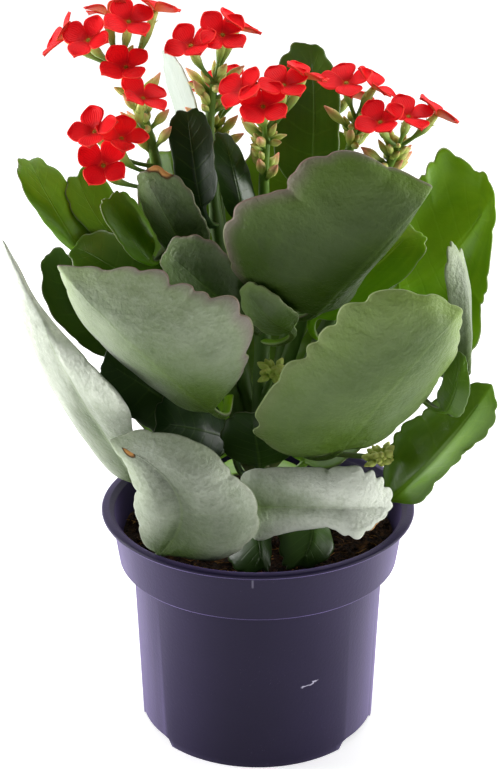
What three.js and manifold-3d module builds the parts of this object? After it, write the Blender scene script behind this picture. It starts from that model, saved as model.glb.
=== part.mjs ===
// A flowering kalanchoe in its grower's pot.
// Millimetres, +Z up, the origin on the floor under the pot's axis, the front of the plant towards -Y.
import * as THREE from "three";
import { mergeVertices } from "three/addons/utils/BufferGeometryUtils.js";
import Module from "manifold-3d";

const wasm = await Module();
wasm.setup();

// Driving dimensions.
const POT_HEIGHT = 90;
const RIM_RADIUS = 60; // the lip, a 12 cm pot
const LIP_DEPTH = 1.8;
const BAND_TOP_RADIUS = 56.3; // the band under the lip
const BAND_FOOT_RADIUS = 53.6;
const BAND_FOOT_Z = 68.2;
const BODY_TOP_RADIUS = 48.3; // the body starts in a step under the band
const BASE_RADIUS = 45.7;
const WALL = 1.2;
const PLATE_Z = 3; // underside of the base plate
const PAD_RADIUS = 14; // the flat centre pad that stands on the floor
const FOOT_WIDTH = 2.5;
const ROUND_SIDES = 36;

const CLEAR = 0.3; // between pieces that touch
const LEAF_CLEAR = 0.8; // a leaf stalk's flat end beside a round shoot
const SOIL_Z = 78;
const SOIL_BUMP = 1.6;
const TRUNK_FOOT_Z = 46;
const TRUNK_RADIUS = 6;
const TRUNK_SIDES = 10;
const SHOOT_SIDES = 6;

const PETIOLE_HALF_WIDTH = 1.9;
const PETIOLE_THICKNESS = 2.6;
const PETIOLE_ROWS = 3;
const MIDRIB_THICKNESS = 2.2;
const MARGIN_THICKNESS = 0.9;
const MARGIN_FULLNESS = 0.75; // below 1 the outline is broader than an ellipse
const WIDEST_AT = 0.4; // share of the midrib
const BASE_LOBE = 0.1; // how far an oval blade's base reaches back beside the neck
const VEIN_LEAN = 0.86; // the side veins leave the midrib this far along for their end on the margin

const PETAL_LENGTH = 8.8;
const PETAL_THICKNESS = 0.8;
const THROAT_THICKNESS = 2.4;
const PETAL_LIFT = 2.2;

const vec = (p) => new THREE.Vector3(...p);

// A small repeatable random source.
function randomFrom(seed) {
  let state = seed;
  return () => {
    state = (state * 16807) % 2147483647;
    return state / 2147483647;
  };
}

// ---- Solids ----

function solidOf(geometry) {
  const bare = geometry.clone();
  bare.deleteAttribute("normal");
  bare.deleteAttribute("uv");
  const merged = mergeVertices(bare, 1e-4);
  return new wasm.Manifold(
    new wasm.Mesh({
      numProp: 3,
      vertProperties: merged.attributes.position.array,
      triVerts: new Uint32Array(merged.index.array),
    }),
  );
}

function geometryOf(solid) {
  const mesh = solid.getMesh();
  const geometry = new THREE.BufferGeometry();
  geometry.setAttribute("position", new THREE.BufferAttribute(mesh.vertProperties, 3));
  geometry.setIndex(new THREE.BufferAttribute(mesh.triVerts, 1));
  return geometry;
}

const join = (solids) => solids.reduce((whole, next) => whole.add(next));

// A closed shell about an open sheet: each face lies half the thickness out along the sheet's normals,
// and a strip closes the open edge.
function thicken(sheet) {
  const { position, normal, thick } = sheet.attributes;
  const count = position.count;
  const points = [];
  for (const side of [0.5, -0.5]) {
    for (let i = 0; i < count; i++) {
      const point = new THREE.Vector3().fromBufferAttribute(position, i);
      const out = new THREE.Vector3().fromBufferAttribute(normal, i);
      points.push(...point.addScaledVector(out, side * thick.getX(i)));
    }
  }
  const faces = [];
  const open = new Map();
  const index = sheet.index.array;
  for (let i = 0; i < index.length; i += 3) {
    const [a, b, c] = index.slice(i, i + 3);
    faces.push(a, b, c, count + c, count + b, count + a);
    for (const [p, q] of [[a, b], [b, c], [c, a]]) {
      if (!open.delete(`${q} ${p}`)) open.set(`${p} ${q}`, [p, q]);
    }
  }
  for (const [p, q] of open.values()) {
    faces.push(q, p, count + p, q, count + p, count + q);
  }
  const shell = new THREE.BufferGeometry();
  shell.setAttribute("position", new THREE.Float32BufferAttribute(points, 3));
  shell.setIndex(faces);
  return shell;
}

// A flat sheet bent by place(x, y), which gives a point and the thickness there.
function bentSheet(flat, place) {
  flat.deleteAttribute("uv");
  flat.deleteAttribute("normal");
  const at = flat.attributes.position;
  const thick = [];
  for (let i = 0; i < at.count; i++) {
    const { point, thickness } = place(at.getX(i), at.getY(i));
    at.setXYZ(i, ...point);
    thick.push(thickness);
  }
  flat.setAttribute("thick", new THREE.Float32BufferAttribute(thick, 1));
  const sheet = mergeVertices(flat, 1e-3);
  sheet.computeVertexNormals();
  return sheet;
}

// A tapering stalk: a cylinder bent along a curve, with radii spread evenly from its foot to its end.
function stalkSolid(curve, radii, sides, steps) {
  const geometry = new THREE.CylinderGeometry(1, 1, 1, sides, steps);
  const at = geometry.attributes.position;
  const reference = new THREE.Vector3(0.31, 0.95, 0);
  for (let i = 0; i < at.count; i++) {
    const along = at.getY(i) + 0.5;
    const place = along * (radii.length - 1);
    const lower = Math.min(Math.floor(place), radii.length - 2);
    const radius = THREE.MathUtils.lerp(radii[lower], radii[lower + 1], place - lower);
    const tangent = curve.getTangentAt(along);
    const side = new THREE.Vector3().crossVectors(reference, tangent).normalize();
    const front = new THREE.Vector3().crossVectors(tangent, side);
    const point = curve.getPointAt(along);
    point.addScaledVector(side, -radius * at.getX(i));
    point.addScaledVector(front, radius * at.getZ(i));
    at.setXYZ(i, ...point);
  }
  return solidOf(geometry);
}

// ---- Pot ----

function potProfile() {
  const inner = BASE_RADIUS - FOOT_WIDTH;
  return [
    [0, 0],
    [PAD_RADIUS, 0],
    [PAD_RADIUS + 1, PLATE_Z],
    [inner - 0.6, PLATE_Z],
    [inner, 0],
    [BASE_RADIUS, 0],
    [BODY_TOP_RADIUS, BAND_FOOT_Z - 0.7],
    [BAND_FOOT_RADIUS - 0.6, BAND_FOOT_Z],
    [BAND_FOOT_RADIUS, BAND_FOOT_Z + 0.6],
    [BAND_TOP_RADIUS, POT_HEIGHT - LIP_DEPTH - 0.8],
    [RIM_RADIUS - 0.6, POT_HEIGHT - LIP_DEPTH],
    [RIM_RADIUS, POT_HEIGHT - LIP_DEPTH + 0.6],
    [RIM_RADIUS, POT_HEIGHT - 0.5],
    [RIM_RADIUS - 0.5, POT_HEIGHT],
    [BAND_TOP_RADIUS + 0.8, POT_HEIGHT],
    [BAND_TOP_RADIUS - WALL, POT_HEIGHT - 1.6],
    [BAND_FOOT_RADIUS - WALL, BAND_FOOT_Z + 1.6],
    [BODY_TOP_RADIUS - WALL, BAND_FOOT_Z + 0.5],
    [BASE_RADIUS - WALL, PLATE_Z + WALL + 0.8],
    [BASE_RADIUS - WALL - 0.8, PLATE_Z + WALL],
    [0, PLATE_Z + WALL],
  ];
}

function lathe(profile) {
  const outline = profile.map(([r, z]) => new THREE.Vector2(r, z));
  const geometry = new THREE.LatheGeometry(outline, ROUND_SIDES);
  return geometry.rotateX(Math.PI / 2);
}

// One opening in the foot ring: a bar with sloping ends that lies across the ring.
function drainNotch(degrees) {
  const slot = new THREE.Shape();
  slot.moveTo(-14, -1);
  slot.lineTo(14, -1);
  slot.lineTo(11, PLATE_Z);
  slot.lineTo(-11, PLATE_Z);
  slot.closePath();
  const bar = new THREE.ExtrudeGeometry(slot, { depth: 10, bevelEnabled: false });
  bar.rotateX(Math.PI / 2); // the slot's height is now +Z and it runs towards -Y
  bar.translate(0, -BASE_RADIUS + 7, 0);
  bar.rotateZ(THREE.MathUtils.degToRad(degrees));
  return solidOf(bar);
}

function drainHole(degrees) {
  const hole = new THREE.CylinderGeometry(4, 4, 4 * WALL, 10);
  hole.rotateX(Math.PI / 2);
  hole.translate(0, -0.72 * BASE_RADIUS, PLATE_Z + WALL / 2);
  hole.rotateZ(THREE.MathUtils.degToRad(degrees));
  return solidOf(hole);
}

function potGeometry() {
  let pot = solidOf(lathe(potProfile()));
  for (const degrees of [62, 180, 298]) pot = pot.subtract(drainNotch(degrees));
  for (let i = 0; i < 6; i++) pot = pot.subtract(drainHole(60 * i));
  return geometryOf(pot);
}

// ---- Soil ----

// The uneven top of the soil.
function soilHeight(x, y) {
  const broad = Math.sin(x * 0.13 + 1.1) * Math.cos(y * 0.11 - 0.4);
  const fine = Math.sin(x * 0.41 + y * 0.29);
  return SOIL_Z + SOIL_BUMP * (0.7 * broad + 0.3 * fine);
}

function soilGeometry() {
  const foot = PLATE_Z + WALL + CLEAR;
  const wallAt = (z) => {
    const share = (z - PLATE_Z) / (BAND_FOOT_Z - PLATE_Z);
    return THREE.MathUtils.lerp(BASE_RADIUS, BODY_TOP_RADIUS, share) - WALL - CLEAR;
  };
  const bandWall = BAND_FOOT_RADIUS - WALL - CLEAR;
  const profile = [
    [0, foot],
    [wallAt(foot) - 1.2, foot],
    [wallAt(foot + 1.2), foot + 1.2],
    [BODY_TOP_RADIUS - WALL - CLEAR, BAND_FOOT_Z + 0.9],
    [bandWall - 0.6, BAND_FOOT_Z + 2.2],
    [bandWall + 0.5, SOIL_Z - 3],
  ];
  for (const share of [0.85, 0.6, 0.35, 0]) profile.push([share * bandWall, SOIL_Z]);
  const geometry = lathe(profile);
  const at = geometry.attributes.position;
  for (let i = 0; i < at.count; i++) {
    if (at.getZ(i) > SOIL_Z - 0.1) at.setZ(i, soilHeight(at.getX(i), at.getY(i)));
  }
  const hole = new THREE.CylinderGeometry(TRUNK_RADIUS + 0.7, TRUNK_RADIUS + 0.7, 80, 12);
  hole.rotateX(Math.PI / 2);
  hole.translate(0, SHOOTS.trunk.path[0][1], TRUNK_FOOT_Z - CLEAR + 40);
  return geometryOf(solidOf(geometry).subtract(solidOf(hole)));
}

// ---- Stem ----

// The trunk and its shoots: the line of each, then its radius at the foot and at the end.
const SHOOTS = {
  trunk: { path: [[0, 5, TRUNK_FOOT_Z], [0, 5, 66], [0, 5, 86], [0, 4, 110]], radii: [TRUNK_RADIUS, 5] },
  left: { path: [[0, 4, 100], [-16, 5, 122], [-35, 5, 148], [-47, 6, 167]], radii: [3.4, 1.5] },
  right: { path: [[0, 4, 100], [18, 5, 120], [36, 5, 140], [51, 6, 158]], radii: [3.4, 1.5] },
  a: { path: [[0, 4, 102], [-12, 7, 135], [-24, 9, 168], [-34, 9, 204]], radii: [3.6, 2.2] },
  b: { path: [[0, 5, 102], [-8, 11, 150], [-15, 14, 190], [-18, 14, 222]], radii: [3.4, 2] },
  c: { path: [[0, 4, 102], [1, 2, 140], [2, 2, 175], [2, 3, 200]], radii: [3.6, 2.2] },
  d: { path: [[0, 5, 102], [10, 14, 140], [21, 20, 175], [30, 21, 212]], radii: [3.4, 2] },
  e: { path: [[0, 4, 102], [15, 10, 135], [30, 15, 168], [42, 15, 206]], radii: [3.4, 2] },
  f: { path: [[0, 5, 102], [-8, 16, 140], [-14, 26, 175], [-16, 32, 205]], radii: [3.4, 2] },
  g: { path: [[0, 5, 102], [8, 16, 140], [16, 26, 175], [20, 33, 205]], radii: [3.4, 2] },
};

const lineOf = (path) => new THREE.CatmullRomCurve3(path.map(vec));

function shootAt(name, along) {
  const { path, radii } = SHOOTS[name];
  const line = lineOf(path);
  return {
    point: line.getPointAt(along),
    tangent: line.getTangentAt(along),
    radius: THREE.MathUtils.lerp(radii[0], radii[1], along),
  };
}

// A side stalk that leaves the main one at from, climbs, and ends at to with the direction facing.
function sideStalk(from, to, facing) {
  const bend = to.clone().addScaledVector(facing, -0.5 * from.distanceTo(to));
  return new THREE.QuadraticBezierCurve3(from, bend, to);
}

const YOUNG_BUD = 5.5;

// Two young flower heads among the leaves: the shoot, how far up it, and the end of their stalk.
const YOUNG_HEADS = [
  { shoot: "c", along: 0.3, end: [6, -8, 147] },
  { shoot: "right", along: 0.18, end: [46, -10, 114] },
];

function youngHead({ shoot, along, end }) {
  const foot = shootAt(shoot, along).point;
  const top = vec(end);
  const away = top.clone().sub(foot).normalize();
  const stalks = [stalkSolid(sideStalk(foot, top, away), [1.3, 1.1], 4, 2)];
  for (let i = 0; i < 6; i++) {
    const turn = (i / 6) * 2 * Math.PI;
    const facing = new THREE.Vector3(Math.cos(turn), Math.sin(turn), i % 2 ? 1.4 : 0.5).normalize();
    const bud = sideStalk(top, top.clone().addScaledVector(facing, YOUNG_BUD), facing);
    stalks.push(stalkSolid(bud, [0.8, 1.6, 0.6], 4, 2));
  }
  return join(stalks);
}

function stemGeometry() {
  const solids = Object.entries(SHOOTS).map(([name, { path, radii }]) => {
    const sides = name === "trunk" ? TRUNK_SIDES : SHOOT_SIDES;
    return stalkSolid(lineOf(path), radii, sides, 4);
  });
  return geometryOf(join([...solids, ...YOUNG_HEADS.map(youngHead)]));
}

// ---- Leaves ----

// Each leaf: the shoot it grows from and how far up it (0 to 1), then the neck where the blade starts, the
// middle and the tip of the midrib, and the blade's left and right edge, seen from its upper side. A broad
// leaf's edges are given by points that follow the margin from the neck to the tip.
const BROAD_LEAVES = {
  front_right: [
    "right", 0.25, [31, -30, 127], [50, -50, 163], [71, -48, 188],
    [[45, -16, 124], [57, -16, 135], [68, -23, 154], [72, -36, 174]],
    [[14, -31, 124], [-3, -38, 139], [2, -42, 151], [9, -46, 164],
      [15, -49, 176], [24, -52, 185], [34, -54, 194], [53, -54, 199]],
  ],
  front_centre: [
    "c", 0.7, [21, -24, 177], [42, -38, 205], [60, -36, 228],
    [[32, -16, 179], [41, -24, 196], [51, -28, 210], [57, -32, 222]],
    [[2, -24, 182], [-12, -28, 200], [-10, -31, 216],
      [2, -34, 227], [15, -36, 237], [32, -38, 241], [49, -37, 234]],
  ],
  front_left: [
    "a", 0.3, [-16, -34, 143], [-41, -48, 173], [-68, -44, 201],
    [[-4, -41, 162], [0, -48, 181], [-5, -50, 192], [-21, -50, 199], [-38, -48, 202], [-56, -46, 202]],
    [[-28, -14, 137], [-44, -10, 148], [-61, -10, 163], [-67, -27, 185]],
  ],
  far_left: [
    "left", 0.2, [-43, -14, 104], [-67, -28, 155], [-91, -16, 201],
    [[-45, -27, 125], [-45, -47, 151], [-57, -36, 161], [-70, -24, 169], [-81, -15, 180], [-87, -14, 191]],
    [[-56, 1, 102], [-67, 6, 114], [-79, 7, 137], [-88, -2, 170], [-91, -10, 190]],
  ],
  rim_left: [
    "trunk", 0.8, [-34, -46, 92], [-27, -55, 120], [-51, -52, 139],
    [[-14, -48, 90], [1, -51, 101], [2, -52, 111],
      [-2, -53, 124], [-13, -53, 135], [-24, -53, 141], [-39, -52, 144]],
    [[-39, -47, 96], [-43, -49, 109], [-45, -51, 127], [-49, -52, 134]],
  ],
  rim_centre: [
    "trunk", 0.72, [-3, -30, 103], [23, -40, 108], [50, -35, 106],
    [[0, -40, 95], [16, -39, 98], [27, -40, 99], [37, -44, 97], [45, -41, 101]],
    [[-5, -33, 116], [2, -35, 121], [17, -36, 122], [33, -37, 124], [46, -37, 120], [50, -35, 112]],
  ],
  rim_right: [
    "trunk", 0.75, [50, -8, 96], [67, -20, 121], [86, -14, 146],
    [[48, -8, 108], [50, -8, 121], [60, -10, 134], [74, -12, 144], [81, -13, 147]],
    [[61, -12, 97], [69, -13, 107], [78, -15, 118], [86, -16, 128], [89, -16, 137]],
  ],
  right_tall: [
    "right", 0.9, [52, 11, 173], [70, 17, 184], [87, 21, 208],
    [[49, 17, 191], [54, 23, 208], [59, 25, 218], [67, 27, 224], [76, 25, 220], [83, 24, 217]],
    [[65, 5, 156], [77, 2, 147], [83, 5, 157], [85, 9, 171], [86, 14, 184], [88, 18, 198]],
  ],
};

const PLAIN_LEAVES = {
  right_edge: ["right", 0.97, [77, -13, 150], [76, -17, 172], [72, -13, 196], [78, 5, 171], [67, -19, 186]],
  right_dark: ["right", 0.9, [69, -23, 139], [72, -27, 149], [74, -22, 161], [67, -17, 149], [76, -28, 144]],
  centre_bright: ["e", 0.5, [21, 5, 165], [41, -1, 185], [57, 3, 199], [32, 13, 190], [51, -3, 180]],
  left_middle: [
    "c", 0.62, [-2, -20, 170], [-17, -26, 187], [-32, -22, 199], [-10, -26, 200], [-24, -14, 173],
  ],
  small_centre: ["c", 0.56, [12, -25, 171], [4, -31, 179], [-4, -29, 189], [10, -33, 184], [-1, -25, 172]],
  worn_edge: ["a", 0.7, [-24, -6, 190], [-31, -14, 207], [-40, -12, 225], [-20, -16, 214], [-39, -4, 202]],
  left_high: ["left", 0.84, [-62, 6, 185], [-73, 2, 203], [-84, 10, 222], [-82, 0, 208], [-64, 12, 205]],
  left_bright: ["left", 0.77, [-44, 10, 184], [-58, 8, 198], [-67, 14, 215], [-65, 4, 200], [-52, 16, 208]],
  left_bract: ["a", 0.9, [-40, -8, 190], [-47, -10, 202], [-53, -10, 214], [-53, -14, 204], [-42, -2, 208]],
  left_low: ["left", 0.7, [-47, 6, 149], [-65, 8, 163], [-78, 12, 186], [-72, 0, 159], [-56, 16, 170]],
  left_behind: ["left", 0.72, [-34, -9, 175], [-52, -5, 186], [-67, -1, 193], [-57, -9, 179], [-45, 3, 194]],
  high_dark: ["b", 0.8, [-21, 1, 208], [-24, 3, 227], [-26, 9, 241], [-32, 3, 228], [-16, 9, 229]],
  high_narrow: ["c", 0.85, [-5, -5, 204], [-8, -7, 220], [-13, -1, 236], [-15, -5, 221], [-2, -1, 218]],
  back_top: ["g", 0.74, [19, 24, 208], [20, 30, 235], [18, 30, 261], [4, 30, 237], [30, 30, 233]],
  back_silver: ["f", 0.85, [-23, 30, 221], [-28, 32, 240], [-35, 36, 257], [-34, 46, 236], [-24, 20, 243]],
  low_left: ["trunk", 0.6, [2, -19, 96], [1, -33, 93], [3, -41, 83], [6, -33, 88], [-11, -31, 85]],
  low_right: ["trunk", 0.68, [16, -20, 99], [21, -32, 94], [16, -40, 84], [29, -30, 89], [8, -32, 88]],
  inner_left: ["left", 0.25, [-22, -4, 124], [-40, -9, 140], [-57, -8, 151], [-44, -12, 127], [-35, -2, 153]],
  inner_low: [
    "trunk", 0.85, [-12, -5, 119], [-23, -13, 126], [-37, -20, 131], [-27, -24, 114], [-25, -3, 139],
  ],
  inner_middle: [
    "trunk", 0.92, [1, -10, 110], [0, -16, 122], [-2, -18, 135], [-14, -12, 122], [14, -13, 123],
  ],
};

// How a blade is made: steps from neck to tip, strips across each half, the scallops of one margin (lobes)
// and their depth as a share of the half width (notch), the swell of each half towards the underside (cup).
const BROAD = { steps: 14, across: 2, lobes: 3.5, notch: 0.15, cup: 4, margin: measuredMargin };
const PLAIN = { steps: 10, across: 1, lobes: 2.5, notch: 0.12, cup: 0, margin: ovalMargin };

// The leaves on the far side of the plant follow a rule: each arches outwards and up from its shoot, at an
// azimuth in degrees from +X towards +Y, with its edges drawn in towards the plant.
const BACK_LEAVES = [
  { shoot: "trunk", along: 0.7, azimuth: 40, out: 24, reach: 40, rise: 40, halfWidth: 28 },
  { shoot: "trunk", along: 0.7, azimuth: 140, out: 24, reach: 40, rise: 40, halfWidth: 28 },
  { shoot: "right", along: 0.45, azimuth: 58, out: 14, reach: 36, rise: 38, halfWidth: 24 },
  { shoot: "f", along: 0.12, azimuth: 90, out: 20, reach: 34, rise: 48, halfWidth: 28 },
  { shoot: "left", along: 0.45, azimuth: 114, out: 14, reach: 36, rise: 38, halfWidth: 24 },
  { shoot: "g", along: 0.45, azimuth: 52, out: 15, reach: 28, rise: 54, halfWidth: 26 },
  { shoot: "f", along: 0.5, azimuth: 128, out: 14, reach: 28, rise: 54, halfWidth: 26 },
  { shoot: "g", along: 0.7, azimuth: 90, out: 12, reach: 18, rise: 46, halfWidth: 24 },
  { shoot: "trunk", along: 0.62, azimuth: 90, out: 17, reach: 28, rise: -6, halfWidth: 17 },
];
const BACK_NECK_RISE = 7;

function backLeaf({ shoot, along, azimuth, out, reach, rise, halfWidth }) {
  const turn = THREE.MathUtils.degToRad(azimuth);
  const outwards = new THREE.Vector3(Math.cos(turn), Math.sin(turn), 0);
  const side = new THREE.Vector3(-Math.sin(turn), Math.cos(turn), 0);
  const lift = (point, far, up) => point.clone().addScaledVector(outwards, far).add(vec([0, 0, up]));
  const neck = lift(shootAt(shoot, along).point, out, BACK_NECK_RISE);
  const middle = lift(neck, 0.6 * reach, 0.42 * rise);
  const edge = lift(neck, 0.3 * reach, 0.5 * rise);
  const left = edge.clone().addScaledVector(side, halfWidth);
  const right = edge.clone().addScaledVector(side, -halfWidth);
  return [shoot, along, ...[neck, middle, lift(neck, reach, rise), left, right].map((p) => p.toArray())];
}

// Where a leaf's stalk starts on its shoot, the way it leaves and the way its flat end lies.
function leafSeat(shoot, along, neck, toLeft) {
  const { point, tangent, radius } = shootAt(shoot, along);
  const out = neck.clone().sub(point);
  out.addScaledVector(tangent, -out.dot(tangent)).normalize();
  const side = new THREE.Vector3().crossVectors(tangent, out);
  if (side.dot(toLeft) < 0) side.negate();
  return { seat: point.addScaledVector(out, radius + LEAF_CLEAR), out, side };
}

// A margin gives the point of an edge, left where x is below 0, at sweep 0 at the neck to 1 at the tip. This
// one follows measured points.
function measuredMargin({ neck, tip }, left, right) {
  const [onLeft, onRight] = [left, right].map((edge) => lineOf([neck, ...edge, tip]));
  return (x, sweep) => (x < 0 ? onLeft : onRight).getPointAt(sweep);
}

// This one is a broad oval whose base reaches back a little beside the neck.
function ovalMargin({ midrib }, left, right) {
  const widest = midrib.getPoint(WIDEST_AT);
  return (x, sweep) => {
    const angle = Math.PI * sweep;
    const along = (1 - Math.cos(angle)) / 2 - BASE_LOBE * Math.sin(angle) * (1 - sweep) ** 2;
    const width = Math.sin(angle) ** MARGIN_FULLNESS * (1 + 0.15 * Math.cos(angle));
    return vec(x < 0 ? left : right).sub(widest).multiplyScalar(width).add(midrib.getPoint(along));
  };
}

// How far a scallop's notch cuts in: none at the tip and at the middle of each lobe.
function notchAt(sweep, { lobes, notch }) {
  const lobe = Math.abs(Math.cos(Math.PI * lobes * (1 - sweep))) ** 0.7;
  return notch * (1 - lobe) * THREE.MathUtils.smoothstep(sweep, 0.15, 0.45);
}

// The middle of an edge given by one point or by a row of points.
function edgeMiddle(edge) {
  const points = Array.isArray(edge[0]) ? edge : [edge];
  return points.reduce((sum, point) => sum.add(vec(point)), vec([0, 0, 0])).divideScalar(points.length);
}

function leafGeometry([shoot, along, ...points], shape) {
  const [neck, middle, tip] = points.slice(0, 3).map(vec);
  const [left, right] = points.slice(3);
  const bend = middle.clone().multiplyScalar(2).sub(neck.clone().add(tip).multiplyScalar(0.5));
  const midrib = new THREE.QuadraticBezierCurve3(neck, bend, tip);
  const marginAt = shape.margin({ neck: points[0], tip: points[2], midrib }, left, right);
  const leftwards = edgeMiddle(left).sub(edgeMiddle(right));
  const upper = tip.clone().sub(neck).cross(leftwards).normalize();
  const toLeft = leftwards.normalize();
  const { seat, out, side } = leafSeat(shoot, along, neck, toLeft);
  const third = neck.distanceTo(seat) / 3;
  const leave = seat.clone().addScaledVector(out, third);
  const arrive = neck.clone().sub(bend).setLength(third).add(neck);
  const petiole = new THREE.CubicBezierCurve3(seat, leave, arrive, neck);
  const rows = PETIOLE_ROWS + shape.steps;
  const petioleEnd = PETIOLE_ROWS / rows;

  function place(x, y) {
    const share = y + 0.5;
    if (share < petioleEnd - 1e-6) {
      const climbed = share / petioleEnd;
      const edge = side.clone().lerp(toLeft, climbed).setLength(-x * PETIOLE_HALF_WIDTH);
      return { point: petiole.getPoint(climbed).add(edge), thickness: PETIOLE_THICKNESS };
    }
    const across = Math.abs(x);
    const sweep = THREE.MathUtils.clamp((share - petioleEnd) / (1 - petioleEnd), 0, 1);
    const swing = Math.sin(Math.PI * sweep);
    const outer = marginAt(x, sweep);
    if (sweep < 0.5) outer.addScaledVector(toLeft, -x * PETIOLE_HALF_WIDTH * (1 - swing));
    const vein = (VEIN_LEAN * (1 - Math.cos(Math.PI * sweep))) / 2;
    const point = midrib.getPoint(vein).lerp(outer, across * (1 - across * notchAt(sweep, shape)));
    point.addScaledVector(upper, -shape.cup * 4 * across * (1 - across) * swing);
    return { point, thickness: THREE.MathUtils.lerp(MIDRIB_THICKNESS, MARGIN_THICKNESS, across) };
  }

  return thicken(bentSheet(new THREE.PlaneGeometry(2, 1, 2 * shape.across, rows), place));
}

// ---- Flower sprays ----

// Each spray: the shoot that carries it, its stalk above the shoot's end, its blooms as centre, facing and
// how far up the stalk their own stalk leaves it, the number of buds and the seed that places them.
const SPRAYS = {
  left: {
    shoot: "a",
    stalk: [[-38, 7, 226], [-43, 3, 246], [-49, -1, 260]],
    blooms: [
      [[-59, -6, 270], [-0.25, -0.6, 0.75], 1],
      [[-45, -4, 276], [0.15, -0.5, 0.85], 1],
      [[-36, 2, 279], [0.35, 0.2, 0.9], 0.9],
      [[-53, 4, 277], [-0.1, 0.4, 0.9], 1],
      [[-68, 2, 269], [-0.8, -0.1, 0.6], 0.95],
      [[-46, -8, 261], [0, -0.5, 0.85], 0.75],
      [[-40, -12, 251], [0.3, -0.3, 0.9], 0.55],
      [[-57, -12, 239], [-0.3, -0.5, 0.8], 0.3],
      [[-48, -10, 236], [0.2, -0.4, 0.9], 0.25],
      [[-54, -16, 228], [0, -0.75, 0.65], 0.15],
    ],
    buds: 8,
    seed: 11,
  },
  middle_left: {
    shoot: "b",
    stalk: [[-18, 13, 238], [-16, 10, 252]],
    blooms: [
      [[-24, 4, 266], [-0.2, -0.5, 0.85], 1],
      [[-13, 8, 269], [0.1, -0.6, 0.8], 1],
      [[-8, 14, 270], [0.5, 0.1, 0.85], 0.9],
    ],
    buds: 7,
    seed: 23,
  },
  middle: {
    shoot: "c",
    stalk: [[2, -2, 220], [3, -8, 240]],
    blooms: [
      [[-5, -14, 254], [-0.4, -0.4, 0.8], 1],
      [[2, -18, 250], [0, -0.65, 0.75], 0.9],
      [[9, -12, 256], [0, -0.4, 0.9], 1],
      [[16, -8, 258], [0.4, 0.1, 0.9], 0.95],
    ],
    buds: 8,
    seed: 37,
  },
  middle_right: {
    shoot: "d",
    stalk: [[33, 18, 226], [35, 13, 238]],
    blooms: [
      [[31, 8, 252], [-0.1, -0.4, 0.9], 1],
      [[41, 10, 250], [0.6, -0.1, 0.8], 1],
    ],
    buds: 6,
    seed: 41,
  },
  right: {
    shoot: "e",
    stalk: [[46, 10, 219], [50, 5, 230]],
    blooms: [
      [[43, -4, 241], [-0.2, -0.5, 0.85], 1],
      [[53, 0, 242], [0.2, -0.3, 0.93], 1],
      [[63, 4, 242], [0.6, 0.1, 0.8], 1],
    ],
    buds: 8,
    seed: 53,
  },
  back_left: {
    shoot: "f",
    stalk: [[-17, 38, 218], [-18, 42, 228]],
    blooms: [
      [[-22, 50, 238], [-0.2, 0.5, 0.85], 1],
      [[-10, 48, 240], [0.2, 0.4, 0.9], 1],
      [[-13, 39, 244], [0, -0.2, 0.95], 1],
    ],
    buds: 6,
    seed: 67,
  },
  back_right: {
    shoot: "g",
    stalk: [[22, 40, 218], [24, 44, 228]],
    blooms: [
      [[22, 52, 240], [0, 0.5, 0.85], 1],
      [[33, 46, 238], [0.5, 0.3, 0.8], 1],
      [[14, 46, 242], [-0.4, 0.2, 0.9], 1],
    ],
    buds: 6,
    seed: 71,
  },
};

function budStalks(spray, line, bloomCentres) {
  const random = randomFrom(spray.seed);
  const stalks = [];
  while (stalks.length < spray.buds) {
    const turn = 2 * Math.PI * random();
    const facing = new THREE.Vector3(Math.cos(turn), Math.sin(turn), 0.6 + random()).normalize();
    const from = line.getPointAt(0.35 + 0.6 * random());
    const to = from.clone().addScaledVector(facing, 11 + 5 * random());
    const clear = bloomCentres.every((centre) => centre.distanceTo(to) > PETAL_LENGTH + 2.5);
    if (clear) stalks.push(sideStalk(from, to, facing));
  }
  return stalks;
}

function sprayGeometry(spray) {
  const { point, tangent, radius } = shootAt(spray.shoot, 1);
  const foot = point.addScaledVector(tangent, CLEAR);
  const straight = foot.clone().addScaledVector(tangent, 3);
  const line = new THREE.CatmullRomCurve3([foot, straight, ...spray.stalk.map(vec)]);
  const solids = [stalkSolid(line, [radius, 1.5], 5, 4)];
  const centres = spray.blooms.map(([centre]) => vec(centre));
  for (const [centre, facing, along] of spray.blooms) {
    const out = vec(facing).normalize();
    const end = vec(centre).addScaledVector(out, -THROAT_THICKNESS / 2 - CLEAR);
    const curve = sideStalk(line.getPointAt(Math.min(along, 0.985)), end, out);
    solids.push(stalkSolid(curve, [0.9, 0.8, 1.6, 1.8], 4, 3));
  }
  for (const curve of budStalks(spray, line, centres)) {
    solids.push(stalkSolid(curve, [0.8, 0.8, 1.9, 0.5], 4, 3));
  }
  return geometryOf(join(solids));
}

// ---- Blooms ----

// One bloom: four rounded petals round a thick throat, as one sheet that rises towards the petal tips. One
// petal points at the nearest other bloom.
function bloomSolid([centre, facing], index, blooms) {
  const others = blooms.filter((_, i) => i !== index).map(([other]) => vec(other).sub(vec(centre)));
  const nearest = others.reduce((best, next) => (next.lengthSq() < best.lengthSq() ? next : best));
  const up = vec(facing).normalize();
  const sideways = new THREE.Vector3().crossVectors(up, nearest).normalize();
  const onwards = new THREE.Vector3().crossVectors(sideways, up);
  const place = (x, y) => {
    const out = Math.hypot(x, y);
    const angle = Math.atan2(y, x);
    const reach = 0.4 + 0.6 * Math.abs(Math.cos(2 * angle)) ** 0.35;
    const radius = out * reach * PETAL_LENGTH;
    const point = vec(centre).addScaledVector(up, PETAL_LIFT * (radius / PETAL_LENGTH) ** 2);
    point.addScaledVector(onwards, radius * Math.cos(angle));
    point.addScaledVector(sideways, radius * Math.sin(angle));
    return { point, thickness: out > 0.5 ? PETAL_THICKNESS : THROAT_THICKNESS };
  };
  return solidOf(thicken(bentSheet(new THREE.CircleGeometry(1, 16), place)));
}

// ---- The whole plant ----

const plant = new THREE.Group();

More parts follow.
